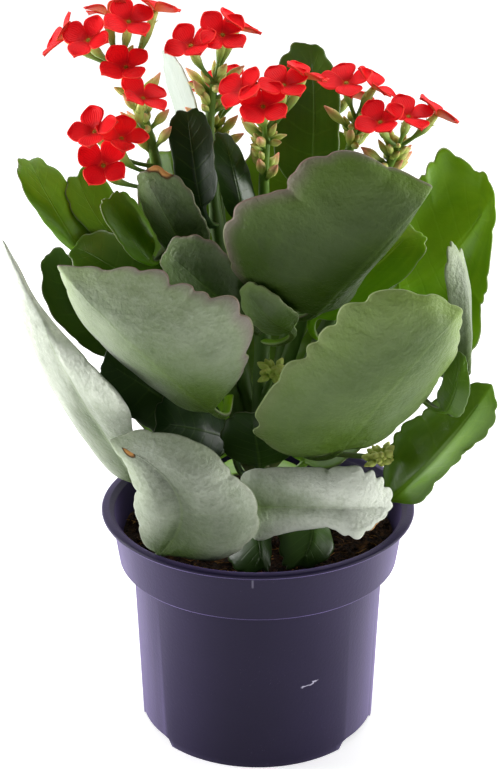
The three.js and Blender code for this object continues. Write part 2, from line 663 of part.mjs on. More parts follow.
const finish = (color, roughness) => new THREE.MeshStandardMaterial({ color, roughness, metalness: 0 });
const plumPlastic = finish("#2f2a3d", 0.35);
const peat = finish("#2a1a10", 0.95);
const greenStem = finish("#5d7f2e", 0.6);
const leafGreen = finish("#4f7f2c", 0.4);
const sprayGreen = finish("#7f9a45", 0.55);
const petalRed = finish("#d81b22", 0.45);

function addPiece(name, geometry, material) {
  const mesh = new THREE.Mesh(geometry, material);
  mesh.name = name;
  plant.add(mesh);
}

addPiece("pot", potGeometry(), plumPlastic);
addPiece("soil", soilGeometry(), peat);
addPiece("stem", stemGeometry(), greenStem);
for (const [name, leaf] of Object.entries(BROAD_LEAVES)) {
  addPiece(`leaf_${name}`, leafGeometry(leaf, BROAD), leafGreen);
}
for (const [name, leaf] of Object.entries(PLAIN_LEAVES)) {
  addPiece(`leaf_${name}`, leafGeometry(leaf, PLAIN), leafGreen);
}
BACK_LEAVES.forEach((leaf, i) => {
  addPiece(`leaf_back_${i + 1}`, leafGeometry(backLeaf(leaf), PLAIN), leafGreen);
});
for (const [name, spray] of Object.entries(SPRAYS)) {
  addPiece(`spray_${name}`, sprayGeometry(spray), sprayGreen);
  // Petals that touch hold together as one piece.
  const bunches = join(spray.blooms.map(bloomSolid)).decompose();
  bunches.forEach((bunch, i) => addPiece(`blooms_${name}_${i + 1}`, geometryOf(bunch), petalRed));
}

export default plant;
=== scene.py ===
# %% [markdown]
# # A kalanchoe in its pot
# This is a small flowering pot plant: thick scalloped leaves, some of them showing their pale waxy
# undersides, flower sprays with bright red four-petalled blooms, dark peat, and a plum-coloured plastic
# grower's pot. The measured model is loaded first. Every finer piece below takes its place from the same
# sizes in millimetres, so nothing has to be fitted by eye.

import bisect
import math
import random

import bmesh
import bpy
from mathutils import Matrix, Vector, noise


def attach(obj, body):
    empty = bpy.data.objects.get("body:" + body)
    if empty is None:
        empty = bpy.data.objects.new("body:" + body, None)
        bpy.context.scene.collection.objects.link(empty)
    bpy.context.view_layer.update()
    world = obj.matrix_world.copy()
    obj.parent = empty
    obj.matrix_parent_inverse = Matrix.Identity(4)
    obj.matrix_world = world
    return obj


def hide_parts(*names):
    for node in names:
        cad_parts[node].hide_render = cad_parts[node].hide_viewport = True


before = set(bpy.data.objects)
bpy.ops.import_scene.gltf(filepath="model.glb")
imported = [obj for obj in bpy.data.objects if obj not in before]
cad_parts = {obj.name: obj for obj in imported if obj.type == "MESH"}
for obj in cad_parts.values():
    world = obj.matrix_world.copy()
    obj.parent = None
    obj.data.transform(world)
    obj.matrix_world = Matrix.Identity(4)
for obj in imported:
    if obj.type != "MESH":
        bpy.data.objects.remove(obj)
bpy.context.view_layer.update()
MM = 0.001
print("loaded", len(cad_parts), "measured parts")

# %% [markdown]
# ## Camera
# The picture was taken from a little above the plant, about 70 cm away. The width of the pot's rim and the
# distance between rim and foot give the distance and the tilt. A sensor of 36 mm on the long side and this
# lens give the same narrow view, so the pot tapers in the picture just as the real one does.

# %% Camera
CAMERA_PLACE = Vector((0.0166, -0.6742, 0.4203))
CAMERA_PITCH = math.radians(22.643)
CAMERA_YAW = math.radians(-1.671)
SENSOR_SIDE = 36
LENS = 91.24


def add_object(name, data):
    """Puts a new object into the scene, at the origin."""
    made = bpy.data.objects.new(name, data)
    bpy.context.collection.objects.link(made)
    return made


def aim(holder, direction):
    """Turns a camera or a light to look along a direction."""
    holder.rotation_euler = direction.to_track_quat("-Z", "Y").to_euler()


level = math.cos(CAMERA_PITCH)
look = Vector((math.sin(CAMERA_YAW) * level, math.cos(CAMERA_YAW) * level, -math.sin(CAMERA_PITCH)))
camera = add_object("camera", bpy.data.cameras.new("camera"))
camera.data.sensor_width = SENSOR_SIDE
camera.data.lens = LENS
camera.location = CAMERA_PLACE
aim(camera, look)
bpy.context.scene.camera = camera
print("camera looks along", [round(c, 3) for c in look])

# %% [markdown]
# ## Writing shaders as sums
# A material is a net of nodes. Wiring each node by hand is slow to read, so a small class stands for one
# socket and lets Python's own + - * and abs add the Math nodes. The reflected forms let 1 - mask work too.

# %% Sums on sockets
class Wire:
    """A socket's value. Arithmetic on it adds Math nodes."""

    def __init__(self, net, socket):
        self.net = net
        self.socket = socket

    def math(self, operation, first, second=0.0):
        return self.net.node("ShaderNodeMath", {"operation": operation}, {0: first, 1: second})

    def __add__(self, other):
        return self.math("ADD", self, other)

    __radd__ = __add__

    def __sub__(self, other):
        return self.math("SUBTRACT", self, other)

    def __rsub__(self, other):
        return self.math("SUBTRACT", other, self)

    def __mul__(self, other):
        return self.math("MULTIPLY", self, other)

    __rmul__ = __mul__

    def __abs__(self):
        return self.math("ABSOLUTE", self)

    def ripple(self):
        """Runs up from 0 to 1 and back again for each step of 1."""
        return self.math("PINGPONG", self, 0.5) * 2


print("sums on sockets: +, -, *, abs and ripple")

# %% [markdown]
# ## Nets of nodes
# A material holds a net of nodes, and so does the world. One method adds any node: its settings come first,
# because they can change its sockets, and then a value or a link for each socket that matters. The methods
# after it are its everyday uses, such as a mix of two colours or a soft step.

# %% Nets
class Net:
    """A net of nodes in the making."""

    def __init__(self, tree):
        self.tree = tree

    def node(self, kind, settings=None, sockets=None, output=0):
        made = self.tree.nodes.new(kind)
        for name, value in (settings or {}).items():
            setattr(made, name, value)
        for name, value in (sockets or {}).items():
            self.plug(made.inputs[name], value)
        return Wire(self, made.outputs[output])

    def plug(self, socket, value):
        """Links a wire to a socket, or sets the socket to a value."""
        if isinstance(value, Wire):
            self.tree.links.new(value.socket, socket)
        elif socket.type == "RGBA":
            socket.default_value = (*value, 1)
        else:
            socket.default_value = value

    def parts(self, vector):
        """The x, y and z of a vector."""
        x = self.node("ShaderNodeSeparateXYZ", {}, {0: vector})
        return [Wire(self, socket) for socket in x.socket.node.outputs]

    def mix(self, amount, first, second):
        """Colours: first where amount is 0, second where it is 1."""
        settings = {"data_type": "RGBA", "clamp_factor": True}
        return self.node("ShaderNodeMix", settings, {0: amount, 6: first, 7: second}, 2)

    def ease(self, value, low, high, start=0.0, end=1.0):
        """start below low, end above high, and a soft step between."""
        sockets = {0: value, 1: low, 2: high, 3: start, 4: end}
        return self.node("ShaderNodeMapRange", {"interpolation_type": "SMOOTHSTEP"}, sockets)

    def fade(self, value, low, high):
        """1 below low, 0 above high, and a soft step between."""
        return 1 - self.ease(value, low, high)


print("nets of nodes: node, plug, parts, mix, ease and fade")

# %% [markdown]
# ## A finish
# A finish is a material with one Principled shader. What is the same all over is a constant on the shader's
# own socket. What changes over the surface is worked out from three sources: the point's place on the
# object, the piece's own UV map, and numbers painted on its points.

# %% Finishes
class Finish(Net):
    """A material in the making, with constants set on the shader's own sockets."""

    def __init__(self, name, **constants):
        self.material = bpy.data.materials.new(name)
        self.material.use_nodes = True
        super().__init__(self.material.node_tree)
        self.shader = self.tree.nodes["Principled BSDF"]
        for socket, value in constants.items():
            self.plug(self.shader.inputs[socket.replace("_", " ")], value)

    def place(self, scale=(1, 1, 1)):
        """Where a point lies on the object, in metres, stretched by scale."""
        spot = self.node("ShaderNodeTexCoord", output="Object")
        return self.node("ShaderNodeMapping", {"vector_type": "POINT"}, {0: spot, 3: scale})

    def speckle(self, scale, detail=3.0, where=None, rough=0.5):
        """Cloudy noise from 0 to 1, with features about 1/scale metres wide."""
        sockets = {"Vector": where or self.place(), "Scale": scale, "Detail": detail, "Roughness": rough}
        return self.node("ShaderNodeTexNoise", {}, sockets)

    def across_and_along(self):
        """The piece's own map: u across it and v along it."""
        return self.parts(self.node("ShaderNodeUVMap", {"uv_map": "UVMap"}))[:2]

    def painted(self, name):
        """A number that was stored at each point of the mesh."""
        return self.node("ShaderNodeAttribute", {"attribute_name": name}, {}, "Fac")

    def finish(self, colour, roughness, relief=None, depth=0.0):
        """Plugs in what varies. relief runs from 0 to 1, and depth is its full height in metres."""
        self.plug(self.shader.inputs["Base Color"], colour)
        self.plug(self.shader.inputs["Roughness"], roughness)
        if relief is not None:
            bump = self.node("ShaderNodeBump", {}, {"Height": relief, "Distance": depth, "Strength": 1.0})
            self.plug(self.shader.inputs["Normal"], bump)
        print("material", self.material.name, "has", len(self.tree.nodes), "nodes")
        return self.material


print("finishes can be made")

# %% [markdown]
# ## From a flat grid to a leaf, a stalk or a petal
# Every part of a plant is a thin sheet or a tube, and both can start as a flat grid. `bend_grid` adds one
# to a mesh and moves each of its points by a rule that knows how far across (-1 to 1) and along (0 to 1)
# the point lies. The same two numbers become the piece's UV map, so that veins and margins can be painted
# along the shape. `add_piece` turns a finished mesh into an object that rides with the pot.

# %% Grid and piece helpers
SEAM = 1e-6


def bend_grid(mesh, columns, rows, rule, chart=None):
    """Adds a grid and bends it. rule(across, along) gives a point in mm. chart gives its UV."""
    made = bmesh.ops.create_grid(mesh, x_segments=columns, y_segments=rows, size=1)["verts"]
    flat = {}
    for vert in made:
        flat[vert] = (vert.co.x, (vert.co.y + 1) / 2)
        vert.co = Vector(rule(*flat[vert])) * MM
    uv = mesh.loops.layers.uv.get("UVMap") or mesh.loops.layers.uv.new("UVMap")
    for face in {face for vert in made for face in vert.link_faces}:
        face.smooth = True
        for loop in face.loops:
            across, along = flat[loop.vert]
            loop[uv].uv = chart(across, along) if chart else ((across + 1) / 2, along)
    return made


def merge(mesh, verts):
    """Joins the points that lie on one another along a seam."""
    bmesh.ops.remove_doubles(mesh, verts=verts, dist=SEAM)


def build(name, mesh, materials):
    """Turns a finished mesh into an object of the scene."""
    data = bpy.data.meshes.new(name)
    mesh.to_mesh(data)
    mesh.free()
    for material in materials:
        data.materials.append(material)
    return add_object(name, data)


def add_piece(name, mesh, *materials, slot, replaces=()):
    """Makes a piece of the plant, in place of the measured parts that it replaces."""
    piece = build(name, mesh, materials)
    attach(piece, "root")
    if replaces:
        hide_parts(*replaces)
    return piece


def thicken(piece, thickness):
    """Gives a sheet a wall, half of it on either side, with the next material on its underside."""
    flesh = piece.modifiers.new("flesh", "SOLIDIFY")
    flesh.thickness = thickness * MM
    flesh.offset = 0
    flesh.material_offset = 1
    return flesh


print("grid and piece helpers ready")

# %% [markdown]
# ## Lines to grow along
# Shoots, stalks and margins all follow lines. A line is kept as a row of dots, and `at` walks along it by
# length, so that half way is half way however the dots are spaced. Two small ramps that later rules share
# come first: a straight one, and one with soft ends.

# %% Lines
LOOK_AHEAD = 0.02


def ramp(value, low, high):
    """0 up to low, 1 from high on, and a straight rise between."""
    return min(max((value - low) / (high - low), 0), 1)


def smoothstep(value, low, high):
    """The same with soft ends."""
    t = ramp(value, low, high)
    return t * t * (3 - 2 * t)


class Line:
    """A line through many dots, walked from 0 at its foot to 1 at its end."""

    def __init__(self, dots):
        self.dots = dots
        self.reach = [0.0]
        for start, end in zip(dots, dots[1:]):
            self.reach.append(self.reach[-1] + (end - start).length)

    def at(self, share):
        goal = ramp(share, 0, 1) * self.reach[-1]
        i = max(bisect.bisect_left(self.reach, goal - 1e-9), 1)
        part = (goal - self.reach[i - 1]) / (self.reach[i] - self.reach[i - 1])
        return self.dots[i - 1].lerp(self.dots[i], part)

    def along(self, share):
        """The direction that the line runs in."""
        return (self.at(share + LOOK_AHEAD) - self.at(share - LOOK_AHEAD)).normalized()


print("lines can be walked")

# %% [markdown]
# ## Splines and bends
# A shoot passes through a few measured points. A centripetal Catmull-Rom spline goes through all of them
# with no loops or overshoot, which is how a living stem bends. A short side stalk is simpler: a Bezier
# curve leaves its first point one way and arrives at its last another.

# %% Splines and bends
BEND_STEPS = 16


def smooth_line(points, samples=12):
    """A spline through every point, with this many dots from each to the next."""
    knots = [Vector(p) for p in points]
    knots = [2 * knots[0] - knots[1], *knots, 2 * knots[-1] - knots[-2]]
    dots = []
    for a, b, c, d in zip(knots, knots[1:], knots[2:], knots[3:]):
        t1 = (b - a).length ** 0.5
        t2 = t1 + (c - b).length ** 0.5
        t3 = t2 + (d - c).length ** 0.5
        for i in range(samples):
            t = t1 + (t2 - t1) * i / samples
            ab, bc = a.lerp(b, t / t1), b.lerp(c, (t - t1) / (t2 - t1))
            cd = c.lerp(d, (t - t2) / (t3 - t2))
            abc, bcd = ab.lerp(bc, t / t2), bc.lerp(cd, (t - t1) / (t3 - t1))
            dots.append(abc.lerp(bcd, (t - t1) / (t2 - t1)))
    return Line([*dots, knots[-2]])


def bent(*points):
    """A Bezier curve from the first point to the last, drawn towards those between."""
    dots = []
    for i in range(BEND_STEPS + 1):
        row = [Vector(p) for p in points]
        while len(row) > 1:
            row = [a.lerp(b, i / BEND_STEPS) for a, b in zip(row, row[1:])]
        dots.append(row[0])
    return Line(dots)


print("lines can be drawn")

# %% [markdown]
# ## Stalks
# Shoots, stalks, buds and fibres are all tubes of changing thickness. A grid becomes one when its columns
# go once round a line. The seam is merged, and the two open ends are filled, so the tube is closed.

# %% Tubes along a line
SIDE_HINT = Vector((0.31, 0.95, 0))


def add_stalk(mesh, line, radii, sides, rows, chart_foot=0.0, chart_end=1.0):
    """A closed tube along a line. radii in mm are spread evenly from its foot to its end.

    chart_foot and chart_end are its v on the UV map there, which sets its colour.
    """
    def rule(across, along):
        place = along * (len(radii) - 1)
        lower = min(int(place), len(radii) - 2)
        part = smoothstep(place - lower, 0, 1)
        radius = radii[lower] * (1 - part) + radii[lower + 1] * part
        tangent = line.along(along)
        side = SIDE_HINT.cross(tangent).normalized()
        front = tangent.cross(side)
        turn = across * math.pi
        return line.at(along) + radius * (math.cos(turn) * side + math.sin(turn) * front)

    def chart(across, along):
        return (across + 1) / 2, chart_foot + (chart_end - chart_foot) * along

    made = bend_grid(mesh, sides, rows, rule, chart)
    merge(mesh, made)
    open_edges = {e for v in made if v.is_valid for e in v.link_edges if e.is_boundary}
    for face in bmesh.ops.holes_fill(mesh, edges=list(open_edges), sides=0)["faces"]:
        face.smooth = True
    return [v for v in made if v.is_valid]


print("stalks can be grown")

# %% [markdown]
# ## Finish for the pot
# The pot is injection-moulded plastic: one dark plum colour with a satin skin. Wear shows only as faint
# dust, soft streaks and one short pale scuff on the front, and a small upright mark under the rim is a
# trace of the mould. Each is a small change of colour or roughness.

# %% Pot material
SCUFF_X, SCUFF_Z, SCUFF_SLOPE = 20.5 * MM, 34.7 * MM, 0.4
MARK_X, MARK_Z = -0.5 * MM, 84.5 * MM
FRONT_FROM, FRONT_FULL = -20 * MM, -30 * MM


def shade(code):
    """A colour written as in a drawing program, such as #8a5a2b, as linear light."""
    parts = [int(code[i:i + 2], 16) / 255 for i in (1, 3, 5)]
    return tuple(c / 12.92 if c <= 0.04045 else ((c + 0.055) / 1.055) ** 2.4 for c in parts)


def pot_plastic():
    made = Finish("plum_plastic", Specular_IOR_Level=0.12, Sheen_Weight=0.7, Sheen_Roughness=0.35,
                  Sheen_Tint=(0.55, 0.42, 1))
    x, y, z = made.parts(made.place())
    front = made.fade(y, FRONT_FULL, FRONT_FROM)
    cloud = made.speckle(38, 4)
    dust = made.ease(made.speckle(2600, 2), 0.70, 0.78) * made.ease(cloud, 0.35, 0.75)
    streaks = made.speckle(60, 5, made.place((9, 9, 0.5)))
    wobble = (made.speckle(400, 2) - 0.5) * 0.004
    scuff_line = abs(z - SCUFF_Z - (x - SCUFF_X) * SCUFF_SLOPE - wobble)
    scuff = made.fade(scuff_line, 0.0001, 0.0005) * made.fade(abs(x - SCUFF_X), 0.0022, 0.0036) * front
    mark = made.fade(abs(x - MARK_X), 0.0002, 0.0005) * made.fade(abs(z - MARK_Z), 0.0012, 0.0022) * front
    colour = made.mix(cloud, shade("#18132a"), shade("#201a34"))
    colour = made.mix(dust * 0.35, colour, shade("#9a93b0"))
    colour = made.mix(scuff * 0.8 + mark * 0.18, colour, shade("#c9c4da"))
    rough = 0.34 + 0.10 * streaks + 0.25 * dust + 0.2 * scuff
    return made.finish(colour, rough, made.speckle(900, 3), 0.00004)


PLUM = pot_plastic()

# %% [markdown]
# ## Finishes for the peat
# The peat is almost black with reddish-brown grains and clumps, and it is completely matt. The fibres in it
# run from dark brown to golden, by a number that is painted on each of them.

# %% Peat materials
def peat():
    made = Finish("peat", Specular_IOR_Level=0.2)
    grain = made.speckle(900, 6, rough=0.7)
    clump = made.speckle(140, 4)
    colour = made.mix(made.ease(grain, 0.42, 0.66), shade("#150d09"), shade("#4a2f1b"))
    colour = made.mix(made.ease(clump, 0.55, 0.72) * 0.6, colour, shade("#7a5228"))
    return made.finish(colour, 0.92, grain, 0.0012)


def fibre():
    made = Finish("peat_fibre", Specular_IOR_Level=0.3)
    colour = made.mix(made.painted("tone"), shade("#3a2212"), shade("#a9793a"))
    return made.finish(colour, 0.7 + 0.15 * made.speckle(700))


PEAT = peat()
FIBRE = fibre()

# %% [markdown]
# ## The pot
# A grower's pot is a turned shape, so it starts as one outline on one side of the axis and `spin` carries
# it once round. The outline is a ring of points whose closing edge lies on the axis. That edge goes, the
# rest is moved to the measured radii and heights, and the two ends merge on the axis after the turn.

# %% Pot: turning the outline
POT_HEIGHT = 90
RIM_RADIUS = 60
LIP_DEPTH = 1.8
BAND_TOP_RADIUS = 56.3
BAND_FOOT_RADIUS = 53.6
BAND_FOOT_Z = 68.2
BODY_TOP_RADIUS = 48.3
BASE_RADIUS = 45.7
WALL = 1.2
PLATE_Z = 3
PAD_RADIUS = 14
FOOT_WIDTH = 2.5
TURN_STEPS = 144
HOLE_ROW = 0.72 * BASE_RADIUS
HOLE_RING_STEP = 2.6

inner = BASE_RADIUS - FOOT_WIDTH
hole_rings = [HOLE_ROW + HOLE_RING_STEP * step for step in (-2, -1, 0, 1, 2)]
pot_outline = [
    (0, 0), (PAD_RADIUS, 0), (PAD_RADIUS + 1, PLATE_Z),
    *((r, PLATE_Z) for r in hole_rings),
    (inner - 0.6, PLATE_Z), (inner, 0), (BASE_RADIUS, 0), (BASE_RADIUS + 0.12, PLATE_Z),
    (BODY_TOP_RADIUS, BAND_FOOT_Z - 0.7), (BAND_FOOT_RADIUS - 0.6, BAND_FOOT_Z),
    (BAND_FOOT_RADIUS, BAND_FOOT_Z + 0.6), (BAND_TOP_RADIUS, POT_HEIGHT - LIP_DEPTH - 0.8),
    (RIM_RADIUS - 0.6, POT_HEIGHT - LIP_DEPTH), (RIM_RADIUS, POT_HEIGHT - LIP_DEPTH + 0.6),
    (RIM_RADIUS, POT_HEIGHT - 0.5), (RIM_RADIUS - 0.5, POT_HEIGHT),
    (BAND_TOP_RADIUS + 0.8, POT_HEIGHT), (BAND_TOP_RADIUS - WALL, POT_HEIGHT - 1.6),
    (BAND_FOOT_RADIUS - WALL, BAND_FOOT_Z + 1.6), (BODY_TOP_RADIUS - WALL, BAND_FOOT_Z + 0.5),
    (BASE_RADIUS - WALL, PLATE_Z + WALL + 0.8), (BASE_RADIUS - WALL - 0.8, PLATE_Z + WALL),
    *((r, PLATE_Z + WALL) for r in reversed(hole_rings)),
    (0, PLATE_Z + WALL),
]


def turned(mesh, outline, steps):
    """Spins an outline of (radius, height) in mm once round the axis."""
    ring = bmesh.ops.create_circle(mesh, segments=len(outline), radius=1)["verts"]
    for vert, (radius, height) in zip(ring, outline):
        vert.co = Vector((radius, 0, height)) * MM
    closing = [e for e in ring[0].link_edges if e.other_vert(ring[0]) is ring[-1]]
    bmesh.ops.delete(mesh, geom=closing, context="EDGES")
    bmesh.ops.spin(mesh, geom=ring + mesh.edges[:], cent=(0, 0, 0), axis=(0, 0, 1), angle=2 * math.pi,
                   steps=steps, use_merge=True)
    merge(mesh, mesh.verts[:])
    for face in mesh.faces:
        face.smooth = True


pot_mesh = bmesh.new()
turned(pot_mesh, pot_outline, TURN_STEPS)
bmesh.ops.recalc_face_normals(pot_mesh, faces=pot_mesh.faces[:])
print("pot turned:", len(pot_mesh.faces), "faces")

# %% [markdown]
# ## Drain notches
# Three notches open the foot ring, so that water can run away. They need no cutting: the lowest points of
# the ring are raised, all the way up in the flat middle of a notch and less and less on its sloping ends.

# %% Pot: notches
NOTCHES = (62, 180, 298)
NOTCH_HALF = 13.25
NOTCH_FLAT_HALF = 11

for vert in pot_mesh.verts:
    place = vert.co / MM
    if place.z < 0.01 and place.xy.length > PAD_RADIUS + 1:
        for degrees in NOTCHES:
            local = Matrix.Rotation(math.radians(-degrees), 3, "Z") @ place
            if local.y < 0 and abs(local.x) < NOTCH_HALF:
                vert.co.z = PLATE_Z * ramp(abs(local.x), NOTCH_HALF, NOTCH_FLAT_HALF) * MM
print("notches:", len(NOTCHES))

# %% [markdown]
# ## Drain holes
# Six round holes go through the base plate. Each starts as a patch of faces deleted from both sides of the
# plate. Its two rims are rounded to a circle, and `bridge_loops` makes the wall between them. Moulded plastic
# has no knife-sharp edge, so a Bevel modifier softens every edge that turns by more than a set angle.

# %% Pot: holes and soft edges
HOLES = 6
HOLE_RADIUS = 4
HOLE_PATCH_RADIUS = 4.6
SOFT_EDGE = 0.35
SHARP_ANGLE = 28


def on_plate(face):
    """True for the level faces on both sides of the base plate."""
    return abs(face.normal.z) > 0.9 and face.calc_center_median().z < 2 * PLATE_Z * MM


for i in range(HOLES):
    turn = math.radians(360 / HOLES * i - 90)
    middle = Vector((math.cos(turn), math.sin(turn), 0)) * HOLE_ROW * MM
    flat = filter(on_plate, pot_mesh.faces)
    patch = [f for f in flat if (f.calc_center_median().xy - middle.xy).length < HOLE_PATCH_RADIUS * MM]
    bmesh.ops.delete(pot_mesh, geom=patch, context="FACES")
    rims = [e for e in pot_mesh.edges if e.is_boundary]
    for vert in {v for e in rims for v in e.verts}:
        away = vert.co.xy - middle.xy
        vert.co.xy = middle.xy + away.normalized() * HOLE_RADIUS * MM
    bmesh.ops.bridge_loops(pot_mesh, edges=rims)

bmesh.ops.recalc_face_normals(pot_mesh, faces=pot_mesh.faces[:])
pot = add_piece("pot_fine", pot_mesh, PLUM, replaces=["pot"], slot="pot_plastic")
edge_softening = pot.modifiers.new("soft_edges", "BEVEL")
edge_softening.width = SOFT_EDGE * MM
edge_softening.segments = 2
edge_softening.limit_method = "ANGLE"
edge_softening.angle_limit = math.radians(SHARP_ANGLE)
print("pot has", len(pot.data.polygons), "faces before its soft edges")

# %% [markdown]
# ## Peat
# The peat fills the pot, so its piece is a round plug with a plain hole where the stem stands. A grid is
# wrapped into rings, each with a radius and a height: up the wall of the hole, out over the top and down the
# pot's wall. Only the top is rough. Its lumps come from two sizes of noise, added to the gentle swell of the
# measured part.

# %% Peat plug
SOIL_Z = 78
SOIL_BUMP = 1.6
STEM_HOLE = Vector((0, 5, 0))
HOLE_ABOVE_Z = 40
ROUGH_ABOVE_Z = SOIL_Z - 0.6
SOIL_RINGS = [(6.7, 45.7), (6.7, 60), (6.7, 77.5), (8.5, SOIL_Z), (14, SOIL_Z), (20, SOIL_Z), (26, SOIL_Z),
              (32, SOIL_Z), (38, SOIL_Z), (44, SOIL_Z), (49, SOIL_Z), (52, SOIL_Z - 0.6), (52.6, 75),
              (51.5, 70.4), (46.8, 69.1), (45, 30), (44.2, 6.2), (42.8, 4.5), (20, 4.5), (0, 4.5)]


def soil_height(x, y):
    broad = math.sin(x * 0.13 + 1.1) * math.cos(y * 0.11 - 0.4)
    fine = math.sin(x * 0.41 + y * 0.29)
    return SOIL_Z + SOIL_BUMP * (0.7 * broad + 0.3 * fine)


def soil_rule(across, along):
    place = along * (len(SOIL_RINGS) - 1)
    lower = min(int(place), len(SOIL_RINGS) - 2)
    radius, height = (a + (b - a) * (place - lower) for a, b in zip(SOIL_RINGS[lower], SOIL_RINGS[lower + 1]))
    turn = across * math.pi
    point = Vector((radius * math.cos(turn), radius * math.sin(turn), height))
    if height > HOLE_ABOVE_Z:
        point += STEM_HOLE * ramp(radius, 30, 10)
    if height > ROUGH_ABOVE_Z:
        grit = 1.3 * noise.noise(point * 0.35) + 0.8 * noise.noise(point * 1.1)
        grit *= ramp(radius, 53, 47) * ramp(radius, 6, 9)
        point.z = height + (soil_height(point.x, point.y) - SOIL_Z) + grit
    return point


soil_mesh = bmesh.new()
bend_grid(soil_mesh, 180, 171, soil_rule)
merge(soil_mesh, soil_mesh.verts[:])
ends = [e for e in soil_mesh.edges if e.is_boundary]
bmesh.ops.holes_fill(soil_mesh, edges=ends, sides=0)
bmesh.ops.recalc_face_normals(soil_mesh, faces=soil_mesh.faces[:])
soil = add_piece("soil_fine", soil_mesh, PEAT, replaces=["soil"], slot="peat")
print("soil has", len(soil.data.polygons), "faces")

# %% [markdown]
# ## Crumbs
# Peat looks real through what lies loose on it, first of all crumbs of many sizes. Each crumb is a small
# icosphere pushed out of round. A seeded random source keeps the same litter in every render.

# %% Crumbs
CRUMBS = 900
LEAST_CRUMB = 0.35
MOST_CRUMB = 1.45
LITTER_RADIUS = 51
CLEAR_OF_STEM = 8.5

random.seed(5)


def spot_on_soil(lift):
    while True:
        x, y = (random.uniform(-LITTER_RADIUS, LITTER_RADIUS) for _ in range(2))
        if math.hypot(x, y) < LITTER_RADIUS and math.hypot(x, y - STEM_HOLE.y) > CLEAR_OF_STEM:
            return Vector((x, y, soil_height(x, y) + lift))


crumbs = bmesh.new()
for _ in range(CRUMBS):
    size = LEAST_CRUMB + (MOST_CRUMB - LEAST_CRUMB) * random.random() ** 3
    middle = spot_on_soil(0.3 * size)
    for vert in bmesh.ops.create_icosphere(crumbs, subdivisions=1, radius=size)["verts"]:
        vert.co = (middle + vert.co * (1 + 0.5 * noise.noise(vert.co * 2 + middle))) * MM
add_piece("soil_crumbs", crumbs, PEAT, slot="peat")
print("crumbs:", CRUMBS)

# %% [markdown]
# ## Fibres
# Thin roots and strips of bark lie between the crumbs, some of them golden. Each is a very thin stalk bent
# through four points: it wanders on from its start in short steps that keep above the peat.

# %% Fibres
FIBRES = 420
FIBRE_STEPS = 3

fibres = bmesh.new()
tone_layer = fibres.verts.layers.float.new("tone")
for _ in range(FIBRES):
    points = [spot_on_soil(0.4)]
    turn = random.uniform(0, 2 * math.pi)
    for _ in range(FIBRE_STEPS):
        turn += random.uniform(-0.8, 0.8)
        step = Vector((math.cos(turn), math.sin(turn), random.uniform(-0.25, 0.35)))
        following = points[-1] + step * random.uniform(0.8, 2.4)
        if following.xy.length > LITTER_RADIUS + 0.5:
            following.xy *= LITTER_RADIUS / following.xy.length
        following.z = max(following.z, soil_height(following.x, following.y) + 0.2)
        points.append(following)
    thick = random.uniform(0.09, 0.24)
    tone = random.random() ** 1.5
    for vert in add_stalk(fibres, smooth_line(points, 4), [thick, thick * 0.7], 4, 6):
        vert[tone_layer] = tone
add_piece("soil_fibres", fibres, FIBRE, slot="peat")
print("fibres:", FIBRES)

# %% [markdown]
# ## Veins and wear
# Three materials cover every leaf: upper side, underside and margin. What differs from leaf to leaf is
# painted on the mesh as four numbers: `tone` (0 young and bright, 1 old and dark; on leaves deep in the plant
# the dark end is painted shade too), `wax` (how grey it is), `rust` (how brown its margin is) and `worn`
# (where it is dry). The UV map runs from the midrib (u = 0.5) to the margins and from neck to tip. The rows
# of the mesh run out as the side veins do, so a vein is simply a thin line of constant v. The patterns that
# the materials share are helpers.

# %% Patterns on a leaf
SIDE_VEINS = 9


def vein_lines(made, side, v):
    """1 on the midrib and on the side veins, 0 between them."""
    drift = (made.speckle(120, 2) - 0.5) * 0.35
    wave = (v * SIDE_VEINS + drift).ripple()
    veins = made.fade(wave, 0.02, 0.18) * made.fade(side, 0.45, 0.9) * made.ease(v, 0.02, 0.1)
    midrib = made.fade(side, 0.0, 0.06 - 0.03 * v)
    return midrib, veins


def fleck(made, u, v, across, along):
    """Noise drawn out along the leaf. Tone shifts it, so that no two leaves share a pattern."""
    spot = made.node("ShaderNodeCombineXYZ", {}, {0: u * across, 1: v * along, 2: made.painted("tone") * 9})
    return made.speckle(1, 4, spot)


def with_wear(made, colour, cloud):
    """Dry yellow-brown tissue where a leaf is worn, darker at its border."""
    worn = made.painted("worn") + (cloud - 0.5) * 0.5
    colour = made.mix(made.ease(worn, 0.10, 0.25), colour, shade("#4a3418"))
    return made.mix(made.ease(worn, 0.25, 0.5), colour, shade("#c08a4c"))


print("patterns ready: veins, flecks and wear")
